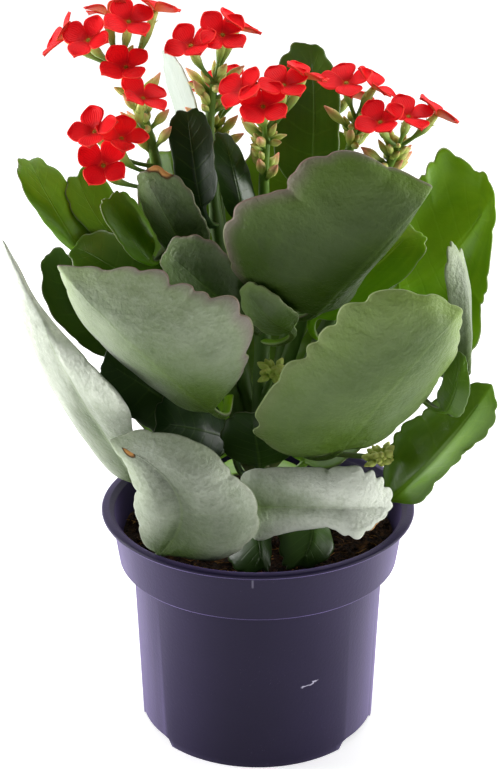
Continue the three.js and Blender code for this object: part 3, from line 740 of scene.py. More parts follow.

# %% [markdown]
# ## Upper side of a leaf
# A succulent leaf is dark and glossy above. A young one is a fresh yellow-green and an old one almost
# black-green, so two mixes are made and `tone` chooses between them; for leaves deep in the plant the dark
# end also stands for painted shade. The few leaves with the most wax turn silver-grey on this side too,
# partly from their wax and partly as a painted highlight.

# %% Upper side
def leaf_upper():
    made = Finish("leaf_upper", Specular_IOR_Level=0.32, Coat_Weight=0.06, Coat_Roughness=0.2)
    u, v = made.across_and_along()
    side = abs(u * 2 - 1)
    midrib, veins = vein_lines(made, side, v)
    cloud = made.speckle(45, 4)
    flecks = fleck(made, u, v, 14, 5)
    fresh = made.mix(cloud * 0.6 + flecks * 0.5, shade("#4a8404"), shade("#93c416"))
    old = made.mix(cloud, shade("#132a0c"), shade("#243f14"))
    colour = made.mix(made.painted("tone"), fresh, old)
    colour = made.mix(midrib * 0.10 + veins * 0.05, colour, shade("#8fb848"))
    rim = made.ease(side + (cloud - 0.5) * 0.1, 0.95, 1.0)
    colour = made.mix(rim * (0.2 + 0.6 * made.painted("rust")), colour, shade("#5c3f2c"))
    # Silver-grey on the waxiest leaves: partly wax, partly a painted highlight of light glancing off them.
    colour = made.mix(made.ease(made.painted("wax"), 0.85, 0.95) * 0.75, colour, shade("#b4bab8"))
    colour = with_wear(made, colour, cloud)
    relief = made.speckle(1400, 2) * 0.1 - midrib * 0.4 - veins * 0.1 + made.speckle(130, 3) * 0.8 + cloud
    return made.finish(colour, 0.28 + 0.2 * flecks, relief, 0.0004)


UPPER = leaf_upper()

# %% [markdown]
# ## Underside of a leaf
# The underside is paler, and a waxy bloom turns it grey-green. Towards the tip and the margins the green
# grows lighter; that is painted light, standing for light through the thin blade and for less shade there.
# The grey of the bloom grows there too, partly a thicker bloom and partly the same painted light. The bloom
# is uneven: clouds, blotches and fine grain together say where it is thick. It also hides most of the shine,
# so the surface is rougher there.

# %% Underside
def leaf_underside():
    made = Finish("leaf_underside", Specular_IOR_Level=0.14, Coat_Weight=0.05, Coat_Roughness=0.2)
    u, v = made.across_and_along()
    side = abs(u * 2 - 1)
    midrib, veins = vein_lines(made, side, v)
    cloud = made.speckle(34, 5)
    grain = made.speckle(760, 5, rough=0.65)
    blotch = made.speckle(190, 4)
    flecks = fleck(made, u, v, 12, 4)
    bloom = made.ease(cloud * 0.5 + blotch * 0.35 + grain * 0.35, 0.42, 0.78)
    # The bloom grows greyer towards the tip and margins: partly real wax, partly painted light.
    wax = made.painted("wax") * made.ease(v + side * 0.4 + cloud * 0.4, 0.4, 1.2, 0.05, 1.2)
    # fade: random mottling plus a painted-light rise towards the tip and margins, for light through the blade
    # and less shade there.
    fade = cloud * 0.2 + flecks * 0.2 + made.ease(v * 0.8 + side * 0.6, 0.6, 1.35) * 0.7
    green = made.mix(fade, shade("#2c4803"), shade("#7a9634"))
    dull = made.mix(fade, shade("#182605"), shade("#506c22"))
    colour = made.mix(made.painted("tone"), green, dull)
    colour = made.mix(wax * (0.6 + 0.4 * bloom) + bloom * 0.01, colour, shade("#d2d8ca"))
    colour = made.mix(midrib * 0.1 + veins * 0.03, colour, shade("#8ba55c"))
    rim = made.ease(side + (cloud - 0.5) * 0.2 + (flecks - 0.5) * 0.1, 0.84, 1.02)
    colour = made.mix(rim * made.painted("rust") * 0.75, colour, shade("#806a70"))
    colour = with_wear(made, colour, cloud)
    relief = grain * 0.25 + blotch * 0.8 + flecks * 0.3 + cloud * 2.0 + midrib * 0.1
    return made.finish(colour, 0.30 + 0.22 * bloom, relief, 0.0011)


UNDER = leaf_underside()

# %% [markdown]
# ## Margin of a leaf
# The thin edge between both sides catches the eye. It is green, greyer on a waxy leaf, and mauve-brown
# towards the tip where the sun has reddened it.

# %% Margin
def leaf_margin():
    made = Finish("leaf_margin", Specular_IOR_Level=0.4)
    _, v = made.across_and_along()
    cloud = made.speckle(70, 3)
    green = made.mix(made.painted("tone"), shade("#93a868"), shade("#3f5a26"))
    green = made.mix(made.ease(made.painted("wax"), 0.3, 1.0), green, shade("#b4bcae"))
    mauve = made.ease(v + cloud * 0.6, 0.3, 0.9) * made.painted("rust")
    colour = with_wear(made, made.mix(mauve, green, shade("#6f5152")), cloud)
    return made.finish(colour, 0.42 + 0.1 * cloud)


LEAF = (UPPER, UNDER, leaf_margin())

# %% [markdown]
# ## Finishes for the stem and the sprays
# The old wood of the stem is brownish and turns green higher up, so its colour depends on the height above
# the floor. A flower stalk goes from green at its foot to yellow-green at its end, and a bud's tip is
# salmon, so there the colour follows the length of each stalk.

# %% Stem and spray materials
WOODY_TO, GREEN_FROM = 95 * MM, 140 * MM


def stem_green():
    made = Finish("stem_green", Specular_IOR_Level=0.4)
    height = made.parts(made.place())[2]
    grain = made.speckle(300, 4, made.place((1, 1, 0.25)))
    green = made.mix(grain, shade("#36501a"), shade("#56752c"))
    woody = made.mix(grain, shade("#3a3a1c"), shade("#5c5430"))
    colour = made.mix(made.ease(height + grain * 0.02, WOODY_TO, GREEN_FROM), woody, green)
    return made.finish(colour, 0.5 + 0.15 * grain, grain, 0.0003)


def spray_green():
    made = Finish("spray_green", Specular_IOR_Level=0.4)
    _, v = made.across_and_along()
    cloud = made.speckle(200, 3)
    colour = made.mix(cloud, shade("#3c5f12"), shade("#71932e"))
    colour = made.mix(made.ease(v, 0.35, 0.9) * 0.75, colour, shade("#c9d46c"))
    colour = made.mix(made.ease(v, 0.9, 1.9), colour, shade("#e58a78"))
    return made.finish(colour, 0.45 + 0.1 * cloud, cloud, 0.0001)


STEM = stem_green()
SPRAY = spray_green()

# %% [markdown]
# ## Stem and shoots
# One short trunk stands in the peat and forks into nine shoots. Each is a smooth line with a radius at its
# foot and one at its end. The lines and the radii are those of the measured stem, in millimetres.

# %% Shoots
SHOOTS = {
    "trunk": ([(0, 5, 46), (0, 5, 66), (0, 5, 86), (0, 4, 110)], 6, 5),
    "left": ([(0, 4, 100), (-16, 5, 122), (-35, 5, 148), (-47, 6, 167)], 3.4, 1.5),
    "right": ([(0, 4, 100), (18, 5, 120), (36, 5, 140), (51, 6, 158)], 3.4, 1.5),
    "a": ([(0, 4, 102), (-12, 7, 135), (-24, 9, 168), (-34, 9, 204)], 3.6, 2.2),
    "b": ([(0, 5, 102), (-8, 11, 150), (-15, 14, 190), (-18, 14, 222)], 3.4, 2),
    "c": ([(0, 4, 102), (1, 2, 140), (2, 2, 175), (2, 3, 200)], 3.6, 2.2),
    "d": ([(0, 5, 102), (10, 14, 140), (21, 20, 175), (30, 21, 212)], 3.4, 2),
    "e": ([(0, 4, 102), (15, 10, 135), (30, 15, 168), (42, 15, 206)], 3.4, 2),
    "f": ([(0, 5, 102), (-8, 16, 140), (-14, 26, 175), (-16, 32, 205)], 3.4, 2),
    "g": ([(0, 5, 102), (8, 16, 140), (16, 26, 175), (20, 33, 205)], 3.4, 2),
}
SHOOT_LINES = {name: smooth_line(path) for name, (path, _, _) in SHOOTS.items()}


def shoot_at(name, along):
    """The middle, the direction and the radius of a shoot at a share of its length."""
    _, foot, end = SHOOTS[name]
    line = SHOOT_LINES[name]
    return line.at(along), line.along(along), foot + (end - foot) * along


print("shoots:", ", ".join(SHOOTS))

# %% [markdown]
# ## Broad leaves
# Each leaf is a row: its shoot, how far up the shoot it grows, and the neck, the middle and the tip of its
# midrib. The broad leaves in front show their whole margins, so each also has the points that its left and
# its right margin pass through, from neck to tip.

# %% Broad leaves
BROAD_LEAVES = {
    "front_right": (
        "right", 0.25, (31, -30, 127), (50, -50, 163), (71, -48, 188),
        [(45, -16, 124), (57, -16, 135), (68, -23, 154), (72, -36, 174)],
        [(14, -31, 124), (-3, -38, 139), (2, -42, 151), (9, -46, 164),
         (15, -49, 176), (24, -52, 185), (34, -54, 194), (53, -54, 199)],
    ),
    "front_centre": (
        "c", 0.7, (21, -24, 177), (42, -38, 205), (60, -36, 228),
        [(32, -16, 179), (41, -24, 196), (51, -28, 210), (57, -32, 222)],
        [(2, -24, 182), (-12, -28, 200), (-10, -31, 216), (2, -34, 227),
         (15, -36, 237), (32, -38, 241), (49, -37, 234)],
    ),
    "front_left": (
        "a", 0.3, (-16, -34, 143), (-41, -48, 173), (-68, -44, 201),
        [(-4, -41, 162), (0, -48, 181), (-5, -50, 192),
         (-21, -50, 199), (-38, -48, 202), (-56, -46, 202)],
        [(-28, -14, 137), (-44, -10, 148), (-61, -10, 163), (-67, -27, 185)],
    ),
    "far_left": (
        "left", 0.2, (-43, -14, 104), (-67, -28, 155), (-91, -16, 201),
        [(-45, -27, 125), (-45, -47, 151), (-57, -36, 161),
         (-70, -24, 169), (-81, -15, 180), (-87, -14, 191)],
        [(-56, 1, 102), (-67, 6, 114), (-79, 7, 137), (-88, -2, 170), (-91, -10, 190)],
    ),
    "rim_left": (
        "trunk", 0.8, (-34, -46, 92), (-27, -55, 120), (-51, -52, 139),
        [(-14, -48, 90), (1, -51, 101), (2, -52, 111), (-2, -53, 124),
         (-13, -53, 135), (-24, -53, 141), (-39, -52, 144)],
        [(-39, -47, 96), (-43, -49, 109), (-45, -51, 127), (-49, -52, 134)],
    ),
    "rim_centre": (
        "trunk", 0.72, (-3, -30, 103), (23, -40, 108), (50, -35, 106),
        [(0, -40, 95), (16, -39, 98), (27, -40, 99), (37, -44, 97), (45, -41, 101)],
        [(-5, -33, 116), (2, -35, 121), (17, -36, 122),
         (33, -37, 124), (46, -37, 120), (50, -35, 112)],
    ),
    "rim_right": (
        "trunk", 0.75, (50, -8, 96), (67, -20, 121), (86, -14, 146),
        [(48, -8, 108), (50, -8, 121), (60, -10, 134), (74, -12, 144), (81, -13, 147)],
        [(61, -12, 97), (69, -13, 107), (78, -15, 118), (86, -16, 128), (89, -16, 137)],
    ),
    "right_tall": (
        "right", 0.9, (52, 11, 173), (70, 17, 184), (87, 21, 208),
        [(49, 17, 191), (54, 23, 208), (59, 25, 218),
         (67, 27, 224), (76, 25, 220), (83, 24, 217)],
        [(65, 5, 156), (77, 2, 147), (83, 5, 157),
         (85, 9, 171), (86, 14, 184), (88, 18, 198)],
    ),
}
print("broad leaves:", len(BROAD_LEAVES))

# %% [markdown]
# ## Smaller leaves
# A smaller leaf, or one that is half hidden, is an oval. Its row ends with just two points, one on each side
# where it is widest.

# %% Smaller leaves
PLAIN_LEAVES = {
    "right_edge": ("right", 0.97, (77, -13, 150), (76, -17, 172), (72, -13, 196),
        (78, 5, 171), (67, -19, 186)),
    "right_dark": ("right", 0.9, (69, -23, 139), (72, -27, 149), (74, -22, 161),
        (67, -17, 149), (76, -28, 144)),
    "centre_bright": ("e", 0.5, (21, 5, 165), (41, -1, 185), (57, 3, 199),
        (32, 13, 190), (51, -3, 180)),
    "left_middle": ("c", 0.62, (-2, -20, 170), (-17, -26, 187), (-32, -22, 199),
        (-10, -26, 200), (-24, -14, 173)),
    "small_centre": ("c", 0.56, (12, -25, 171), (4, -31, 179), (-4, -29, 189),
        (10, -33, 184), (-1, -25, 172)),
    "worn_edge": ("a", 0.7, (-24, -6, 190), (-31, -14, 207), (-40, -12, 225),
        (-20, -16, 214), (-39, -4, 202)),
    "left_high": ("left", 0.84, (-62, 6, 185), (-73, 2, 203), (-84, 10, 222),
        (-82, 0, 208), (-64, 12, 205)),
    "left_bright": ("left", 0.77, (-44, 10, 184), (-58, 8, 198), (-67, 14, 215),
        (-65, 4, 200), (-52, 16, 208)),
    "left_bract": ("a", 0.9, (-40, -8, 190), (-47, -10, 202), (-53, -10, 214),
        (-53, -14, 204), (-42, -2, 208)),
    "left_low": ("left", 0.7, (-47, 6, 149), (-65, 8, 163), (-78, 12, 186),
        (-72, 0, 159), (-56, 16, 170)),
    "left_behind": ("left", 0.72, (-34, -9, 175), (-52, -5, 186), (-67, -1, 193),
        (-57, -9, 179), (-45, 3, 194)),
    "high_dark": ("b", 0.8, (-21, 1, 208), (-24, 3, 227), (-26, 9, 241),
        (-32, 3, 228), (-16, 9, 229)),
    "high_narrow": ("c", 0.85, (-5, -5, 204), (-8, -7, 220), (-13, -1, 236),
        (-15, -5, 221), (-2, -1, 218)),
    "back_top": ("g", 0.74, (19, 24, 208), (20, 30, 235), (18, 30, 261),
        (4, 30, 237), (30, 30, 233)),
    "back_silver": ("f", 0.85, (-23, 30, 221), (-28, 32, 240), (-35, 36, 257),
        (-34, 46, 236), (-24, 20, 243)),
    "low_left": ("trunk", 0.6, (2, -19, 96), (1, -33, 93), (3, -41, 83),
        (6, -33, 88), (-11, -31, 85)),
    "low_right": ("trunk", 0.68, (16, -20, 99), (21, -32, 94), (16, -40, 84),
        (29, -30, 89), (8, -32, 88)),
    "inner_left": ("left", 0.25, (-22, -4, 124), (-40, -9, 140), (-57, -8, 151),
        (-44, -12, 127), (-35, -2, 153)),
    "inner_low": ("trunk", 0.85, (-12, -5, 119), (-23, -13, 126), (-37, -20, 131),
        (-27, -24, 114), (-25, -3, 139)),
    "inner_middle": ("trunk", 0.92, (1, -10, 110), (0, -16, 122), (-2, -18, 135),
        (-14, -12, 122), (14, -13, 123)),
}
print("smaller leaves:", len(PLAIN_LEAVES))

# %% [markdown]
# ## Leaves at the back
# The picture doesn't show the back, so its leaves follow the habit of the others: each grows away from the
# stem and rises. A row gives the shoot, the share of its length, the leaf's direction in degrees, how far
# out its neck stands, how far it reaches, how far it rises, and half its width. The helper works out the
# same points as in the other rows.

# %% Leaves at the back
BACK_LEAVES = [
    ("trunk", 0.7, 40, 24, 40, 40, 28),
    ("trunk", 0.7, 140, 24, 40, 40, 28),
    ("right", 0.45, 58, 14, 36, 38, 24),
    ("f", 0.12, 90, 20, 34, 48, 28),
    ("left", 0.45, 114, 14, 36, 38, 24),
    ("g", 0.45, 52, 15, 28, 54, 26),
    ("f", 0.5, 128, 14, 28, 54, 26),
    ("g", 0.7, 90, 12, 18, 46, 24),
    ("trunk", 0.62, 90, 17, 28, -6, 17),
]
NECK_RISE = 7


def back_leaf(shoot, along, azimuth, out, reach, rise, half_width):
    turn = math.radians(azimuth)
    outwards = Vector((math.cos(turn), math.sin(turn), 0))
    side = Vector((-math.sin(turn), math.cos(turn), 0))
    up = Vector((0, 0, 1))
    neck = shoot_at(shoot, along)[0] + out * outwards + NECK_RISE * up
    edge = neck + 0.3 * reach * outwards + 0.5 * rise * up
    middle = neck + 0.6 * reach * outwards + 0.42 * rise * up
    tip = neck + reach * outwards + rise * up
    return shoot, along, neck, middle, tip, edge + half_width * side, edge - half_width * side


ALL_LEAVES = {**BROAD_LEAVES, **PLAIN_LEAVES}
for number, row in enumerate(BACK_LEAVES, 1):
    ALL_LEAVES[f"back_{number}"] = back_leaf(*row)
print("leaves in all:", len(ALL_LEAVES))

# %% [markdown]
# ## Growing the shoots
# A real shoot swells a little wherever a leaf joins it. So the radius of each shoot is sampled at even
# steps, and a small bell curve is added at each joint, before the tube is made.

# %% Shoots with their joints
SHOOT_STEPS = 32
JOINT_REACH = 0.025
JOINT_SWELL = 0.45

stem_mesh = bmesh.new()
for name, (_, foot, end) in SHOOTS.items():
    joints = [row[1] for row in ALL_LEAVES.values() if row[0] == name]
    radii = []
    for i in range(SHOOT_STEPS + 1):
        here = i / SHOOT_STEPS
        swell = sum(math.exp(-(((here - joint) / JOINT_REACH) ** 2)) for joint in joints)
        radii.append(foot + (end - foot) * here + JOINT_SWELL * min(swell, 1))
    add_stalk(stem_mesh, SHOOT_LINES[name], radii, 18, 64)
print("shoots grown:", len(SHOOTS))

# %% [markdown]
# ## Young flower heads
# Two tight heads of small yellow-green buds show between the lower leaves. A bud is a stalk too: its radii
# swell quickly and close again at the tip. Each bud is turned on from the last by 2.4 radians, the angle at
# which plants set their parts, so the buds cover the head evenly.

# %% Young heads, their stalks fused with the stem's piece
YOUNG_HEADS = [("c", 0.3, (6, -8, 147)), ("right", 0.18, (46, -10, 114))]
YOUNG_BUDS = 26
TURN_BETWEEN_BUDS = 2.4
YOUNG_BUD_LENGTH = 7.0
YOUNG_BUD_RADII = [0.4, 0.4, 0.45, 0.5, 0.6, 1.2, 1.6, 1.55, 1.0, 0.3]


def side_stalk(start, end, facing):
    """A line that arrives at its end in the direction facing."""
    return bent(start, end - 0.5 * (end - start).length * facing, end)


buds = bmesh.new()
random.seed(21)
for shoot, along, top in YOUNG_HEADS:
    foot, top = shoot_at(shoot, along)[0], Vector(top)
    add_stalk(stem_mesh, side_stalk(foot, top, (top - foot).normalized()), [1.3, 1.1], 8, 12)
    for i in range(YOUNG_BUDS):
        turn = i * TURN_BETWEEN_BUDS
        climb = 1 - 1.5 * i / YOUNG_BUDS
        facing = Vector((math.cos(turn), math.sin(turn), climb)).normalized()
        tip = top + facing * YOUNG_BUD_LENGTH * random.uniform(0.6, 1.05)
        scale = random.uniform(0.7, 1.05)
        radii = [r * scale for r in YOUNG_BUD_RADII]
        add_stalk(buds, side_stalk(top - facing, tip, facing), radii, 8, 12, chart_foot=0.4, chart_end=1.1)
add_piece("stem_fine", stem_mesh, STEM, replaces=["stem"], slot="stem_green")
add_piece("young_buds", buds, SPRAY, slot="spray_green")
print("young heads:", len(YOUNG_HEADS))

# %% [markdown]
# ## Margins
# The margin of a leaf is a smooth line from neck to tip on either side. A broad leaf's goes through its
# measured points. A smaller leaf's is half an oval, widest below the middle, with a base that reaches back
# a little beside the neck. Scallops are cut in later: their curve is a rounded tooth that repeats.

# %% Margins
OVAL_FULLNESS = 0.75
OVAL_WIDEST_AT = 0.4
OVAL_BASE_LOBE = 0.1


def scallop(sweep, lobes):
    """0 on the crown of each lobe and 1 in the narrow notches between them."""
    return 1 - abs(math.cos(math.pi * lobes * (1 - sweep))) ** 0.5


def measured_margin(neck, tip, left, right):
    lines = smooth_line([neck, *left, tip], 24), smooth_line([neck, *right, tip], 24)
    return lambda x, sweep: lines[x > 0].at(sweep)


def oval_margin(on_midrib, left, right):
    widest = on_midrib(OVAL_WIDEST_AT)

    def margin(x, sweep):
        angle = math.pi * sweep
        width = max(math.sin(angle), 0) ** OVAL_FULLNESS * (1 + 0.15 * math.cos(angle))
        along = (1 - math.cos(angle)) / 2 - OVAL_BASE_LOBE * math.sin(angle) * (1 - sweep) ** 2
        return on_midrib(along) + (Vector(left if x < 0 else right) - widest) * width
    return margin


def middle_of(points):
    return sum(map(Vector, points), Vector()) / len(points)


print("margins ready")

# %% [markdown]
# ## Kinds of leaf
# Three sets of numbers say how a leaf is cut: the broad kind has three or four wide scallops a side with
# small teeth on them and swells between midrib and margin, the ragged kind is the same with deeper teeth
# near the tip, and the plain kind is smaller and flat. `lobes` and `teeth` say how many scallops and teeth a
# side has, `notch` and `tooth` how deep they are, and `cup` how far each half swells, in mm. The teeth of one
# leaf are never quite alike, so noise changes their size and shifts them.

# %% Kinds of leaf
BROAD = {"columns": 18, "petiole": 7, "rows": 84, "lobes": 3.5, "notch": 0.15, "cup": 4,
         "teeth": 9.5, "tooth": 0.12, "teeth_from": 0.1}
RAGGED = {**BROAD, "teeth": 12, "tooth": 0.22, "teeth_from": 0.55}
PLAIN = {"columns": 12, "petiole": 6, "rows": 45, "lobes": 2.5, "notch": 0.12, "cup": 0,
         "teeth": 6.5, "tooth": 0.10, "teeth_from": 0.1}


def cuts(shape, seed, x, sweep):
    """How deep the scallops and the teeth cut into the leaf, as shares of its half width."""
    notch = shape["notch"] * scallop(sweep, shape["lobes"]) * smoothstep(sweep, 0.15, 0.45)
    place = Vector((seed, 5 * sweep, 3 if x < 0 else 0))
    tooth = shape["tooth"] * (1 + 0.9 * noise.noise(place * 2.1))
    tooth *= scallop(sweep + 0.07 * noise.noise(place), shape["teeth"])
    tooth *= smoothstep(sweep, shape["teeth_from"], shape["teeth_from"] + 0.2)
    return notch, tooth * smoothstep(1 - sweep, 0, 0.04)


print("kinds of leaf: broad, ragged and plain")

# %% [markdown]
# ## One rule for every leaf
# The first rows of a leaf's grid are its stalk, which leaves the shoot square to it and turns into the
# midrib. In the rest each row runs from a point on the midrib out to the margin, leaning towards the tip as
# a side vein does. The cuts shorten it, each half swells towards the underside, and noise bends the blade a
# little. A grid bent by this rule is the middle sheet of the leaf. The same function also gives the
# thickness at each point and its place on the UV map, because both depend on where the stalk ends.

# %% The leaf rule
PETIOLE_HALF_WIDTH = 1.9
PETIOLE_THICKNESS = 2.6
MIDRIB_THICKNESS = 2.2
MARGIN_THICKNESS = 0.9
VEIN_LEAN = 0.86
LEAF_SINK = 0.6
MOST_CUP_SHARE = 0.2
WAVE_SCALE = 0.045
BROAD_WAVE, FINE_WAVE = 1.4, 0.5


def leaf_rule(shoot, along, neck, middle, tip, left, right, shape, seed):
    neck, middle, tip = Vector(neck), Vector(middle), Vector(tip)
    bend = 2 * middle - (neck + tip) / 2

    def on_midrib(t):
        return neck.lerp(bend, t).lerp(bend.lerp(tip, t), t)

    if isinstance(left, list):
        margin = measured_margin(neck, tip, left, right)
        leftwards = middle_of(left) - middle_of(right)
    else:
        margin = oval_margin(on_midrib, left, right)
        leftwards = Vector(left) - Vector(right)
    upper = (tip - neck).cross(leftwards).normalized()
    to_left = leftwards.normalized()
    point, tangent, radius = shoot_at(shoot, along)
    out = neck - point
    out = (out - out.dot(tangent) * tangent).normalized()
    side = tangent.cross(out)
    side = side if side.dot(to_left) > 0 else -side
    seat = point + out * (radius - LEAF_SINK)
    third = (neck - seat).length / 3
    petiole = bent(seat, seat + out * third, neck + (neck - bend).normalized() * third, neck)
    petiole_end = shape["petiole"] / (shape["petiole"] + shape["rows"])

    def rule(x, share):
        if share < petiole_end - 1e-6:
            climbed = share / petiole_end
            return petiole.at(climbed) - x * PETIOLE_HALF_WIDTH * side.lerp(to_left, climbed).normalized()
        sweep = min((share - petiole_end) / (1 - petiole_end), 1)
        swing = math.sin(math.pi * sweep)
        outer = margin(x, sweep)
        if sweep < 0.5:
            outer -= (1 - swing) * x * PETIOLE_HALF_WIDTH * to_left
        root = on_midrib(VEIN_LEAN * (1 - math.cos(math.pi * sweep)) / 2)
        notch, tooth = cuts(shape, seed, x, sweep)
        far = abs(x)
        uncut = 1 - far ** 3 * tooth
        spot = root.lerp(outer, far * (1 - far * notch) * uncut)
        far *= uncut
        cup = min(shape["cup"], MOST_CUP_SHARE * (outer - root).length)
        swell = cup * 4 * far * (1 - far) * swing
        drift = spot * WAVE_SCALE + Vector((seed, 0, 0))
        wave = BROAD_WAVE * far * far * swing * noise.noise(drift) + FINE_WAVE * noise.noise(drift * 2.3)
        return spot + upper * (wave * smoothstep(sweep, 0, 0.2) - swell)

    def thickness(x, share):
        far = abs(x)
        blade = MIDRIB_THICKNESS + (MARGIN_THICKNESS - MIDRIB_THICKNESS) * far
        stalk = PETIOLE_THICKNESS * max(0.3, (1 - far * far) ** 0.5)
        return stalk + (blade - stalk) * smoothstep(share, petiole_end, petiole_end + 0.1)

    def chart(x, share):
        return (x + 1) / 2, (share - petiole_end) / (1 - petiole_end)

    return rule, thickness, chart


print("the leaf rule is ready")

# %% [markdown]
# ## How each leaf looks
# Every leaf that shows in the picture has its own tone, wax and rust. The leaves deep inside, the two hanging
# low over the rim and the two dark high ones get a tone near 1, which is painted shade more than age.
# `TOOTHING` makes the small teeth of some leaves shallower. A few leaves are worn: each worn spot has a place
# across and along the leaf and a reach. All other leaves are drawn at random.

# %% Looks
# Painted shade: inner_left, inner_low, inner_middle, low_left, low_right, high_dark and high_narrow have a
# tone near 1 because they sit in shade.
LEAF_LOOKS = {
    "front_right": (0.15, 0.08, 0.15), "front_centre": (0.65, 0.03, 0.8), "front_left": (0.1, 0.36, 0.9),
    "far_left": (0.6, 0.95, 0.1), "rim_left": (0.8, 0.5, 0.2), "rim_centre": (0.0, 1.1, 0.1),
    "rim_right": (0.6, 0.0, 0.1), "right_tall": (-0.2, 0.4, 0.0), "right_edge": (0.3, 0.4, 0.1),
    "right_dark": (0.7, 0.2, 0.1), "centre_bright": (-0.2, 0.2, 0.1), "left_middle": (0.75, 0.15, 0.7),
    "small_centre": (0.2, 0.15, 0.3), "worn_edge": (0.8, 0.1, 0.5), "left_high": (0.3, 0.4, 0.5),
    "left_bright": (0.45, 0.2, 0.4), "left_bract": (0.3, 0.2, 0.3), "left_low": (0.8, 0.4, 0.4),
    "left_behind": (0.7, 0.2, 0.4), "high_dark": (1.0, 0.1, 0.3), "high_narrow": (0.95, 0.1, 0.3),
    "back_top": (0.75, 0.4, 0.3), "back_silver": (0.5, 1.0, 0.1), "low_left": (0.95, 0.2, 0.1),
    "low_right": (0.9, 0.2, 0.1), "inner_left": (0.95, 0.1, 0.2), "inner_low": (1.0, 0.1, 0.2),
    "inner_middle": (0.95, 0.1, 0.2),
}
TOOTHING = {"far_left": 0.1, "rim_left": 0.25, "front_centre": 0.4, "right_tall": 0.6, "high_dark": 0.4}
WORN_SPOTS = {
    "rim_left": [(0.3, 1.0, 0.3)],
    "worn_edge": [(-0.95, 0.8, 0.22), (-0.95, 0.9, 0.22)],
    "rim_centre": [(-1.0, 0.85, 0.12)],
    "far_left": [(-1.0, 0.9, 0.12)],
}


def wear_at(name, across, sweep):
    spots = WORN_SPOTS.get(name, [])
    return max([0.0, *(1 - math.hypot(across - x, 2 * (sweep - s)) / reach for x, s, reach in spots)])


print("looks listed:", len(LEAF_LOOKS))

# %% [markdown]
# ## Growing the leaves
# Solidify turns each sheet into a fleshy blade. A vertex group tells it how thick each point is: full at
# the midrib, thin at the margin and round in the stalk. Its material offsets put the waxy finish on the
# underside and the brownish one on the margin. Subdivision then rounds the edge as a succulent leaf's is.

# %% Leaves
KINDS = {**dict.fromkeys(BROAD_LEAVES, BROAD), "rim_centre": RAGGED}


def grow_leaf(name, row, shape, looks, seed):
    mesh = bmesh.new()
    rule, thickness, chart = leaf_rule(*row, shape, seed)
    weights = mesh.verts.layers.deform.new()
    layers = [mesh.verts.layers.float.new(layer) for layer in ("tone", "wax", "rust", "worn")]
    flat = []

    def noted(x, share):
        sweep = chart(x, share)[1]
        flat.append((thickness(x, share) / PETIOLE_THICKNESS, wear_at(name, x, sweep)))
        return rule(x, share)

    grid = bend_grid(mesh, shape["columns"], shape["petiole"] + shape["rows"], noted, chart)
    for vert, (thick, wear) in zip(grid, flat):
        vert[weights][0] = thick
        for layer, value in zip(layers, (*looks, wear)):
            vert[layer] = value
    merge(mesh, mesh.verts[:])
    leaf = add_piece(f"leaf_{name}_fine", mesh, *LEAF, replaces=[f"leaf_{name}"], slot="leaf_green")
    leaf.vertex_groups.new(name="thickness")
    flesh = thicken(leaf, PETIOLE_THICKNESS)
    flesh.vertex_group = "thickness"
    flesh.material_offset_rim = 2
    rounding = leaf.modifiers.new("rounding", "SUBSURF")
    rounding.levels = rounding.render_levels = 1


random.seed(3)
for number, (name, row) in enumerate(ALL_LEAVES.items()):
    shape = KINDS.get(name, PLAIN)
    shape = {**shape, "tooth": shape["tooth"] * TOOTHING.get(name, 1)}
    looks = random.uniform(0.1, 0.8), random.uniform(0.0, 0.35), random.uniform(0.1, 0.7)
    grow_leaf(name, row, shape, LEAF_LOOKS.get(name, looks), 10 * number)
print("grew", len(ALL_LEAVES), "leaves")

# %% [markdown]
# ## Finishes for the flowers
# The petals are a strong clear red with a hair-fine lighter edge, and orange-salmon behind. Each petal has
# its own UV map, so the edge and the faint veins follow its shape. The red is painted darker towards each
# petal's foot, which is painted shade in the deep throat, and a faint red glow on the face is painted light.
# The throat is a small golden spot.

# %% Petal materials
PETAL_VEINS = 11


def petal_face():
    # Painted light: a faint red glow makes the petals brighter than the lamps alone light them.
    made = Finish("petal_face", Specular_IOR_Level=0.12, Emission_Color=(1, 0.01, 0.02),
                  Emission_Strength=0.15)
    u, v = made.across_and_along()
    side = abs(u * 2 - 1)
    cloud = made.speckle(420, 3)
    veins = (u * PETAL_VEINS + cloud * 0.3).ripple()
    colour = made.mix(cloud, shade("#e4060e"), shade("#ff121c"))
    colour = made.mix(made.ease(veins, 0.6, 1.0) * 0.2, colour, shade("#a3060e"))
    # Painted shade: darker red towards the foot of the petal, where the throat is deep.
    colour = made.mix(made.fade(v, 0.05, 0.3), colour, shade("#b3080a"))
    colour = made.mix(made.fade(v, 0.0, 0.1) * 0.7, colour, shade("#d8631c"))
    colour = made.mix(made.ease(side, 0.90, 1.0) * 0.5, colour, shade("#f0513c"))
    return made.finish(colour, 0.45 + 0.12 * cloud, veins, 0.00008)


def petal_back():
    made = Finish("petal_back", Specular_IOR_Level=0.12)
    _, v = made.across_and_along()
    cloud = made.speckle(300, 3)
    colour = made.mix(made.ease(v + cloud * 0.3, 0.2, 0.9), shade("#e0703f"), shade("#d22a20"))
    return made.finish(colour, 0.5 + 0.1 * cloud)


def throat():
    made = Finish("flower_throat", Specular_IOR_Level=0.35)
    tone = made.speckle(2500, 2)
    return made.finish(made.mix(tone, shade("#8f8a20"), shade("#d8a838")), 0.5 + 0.1 * tone)


PETAL = (petal_face(), petal_back())
THROAT = throat()

# %% [markdown]
# ## Where the flowers are
# A spray carries on from the end of its shoot through the points of its stalk. Then come its blooms, each
# with its centre, the way it faces, and how far up the spray its own stalk leaves it. The last two numbers
# are how many buds the measured spray has and the seed that places them.

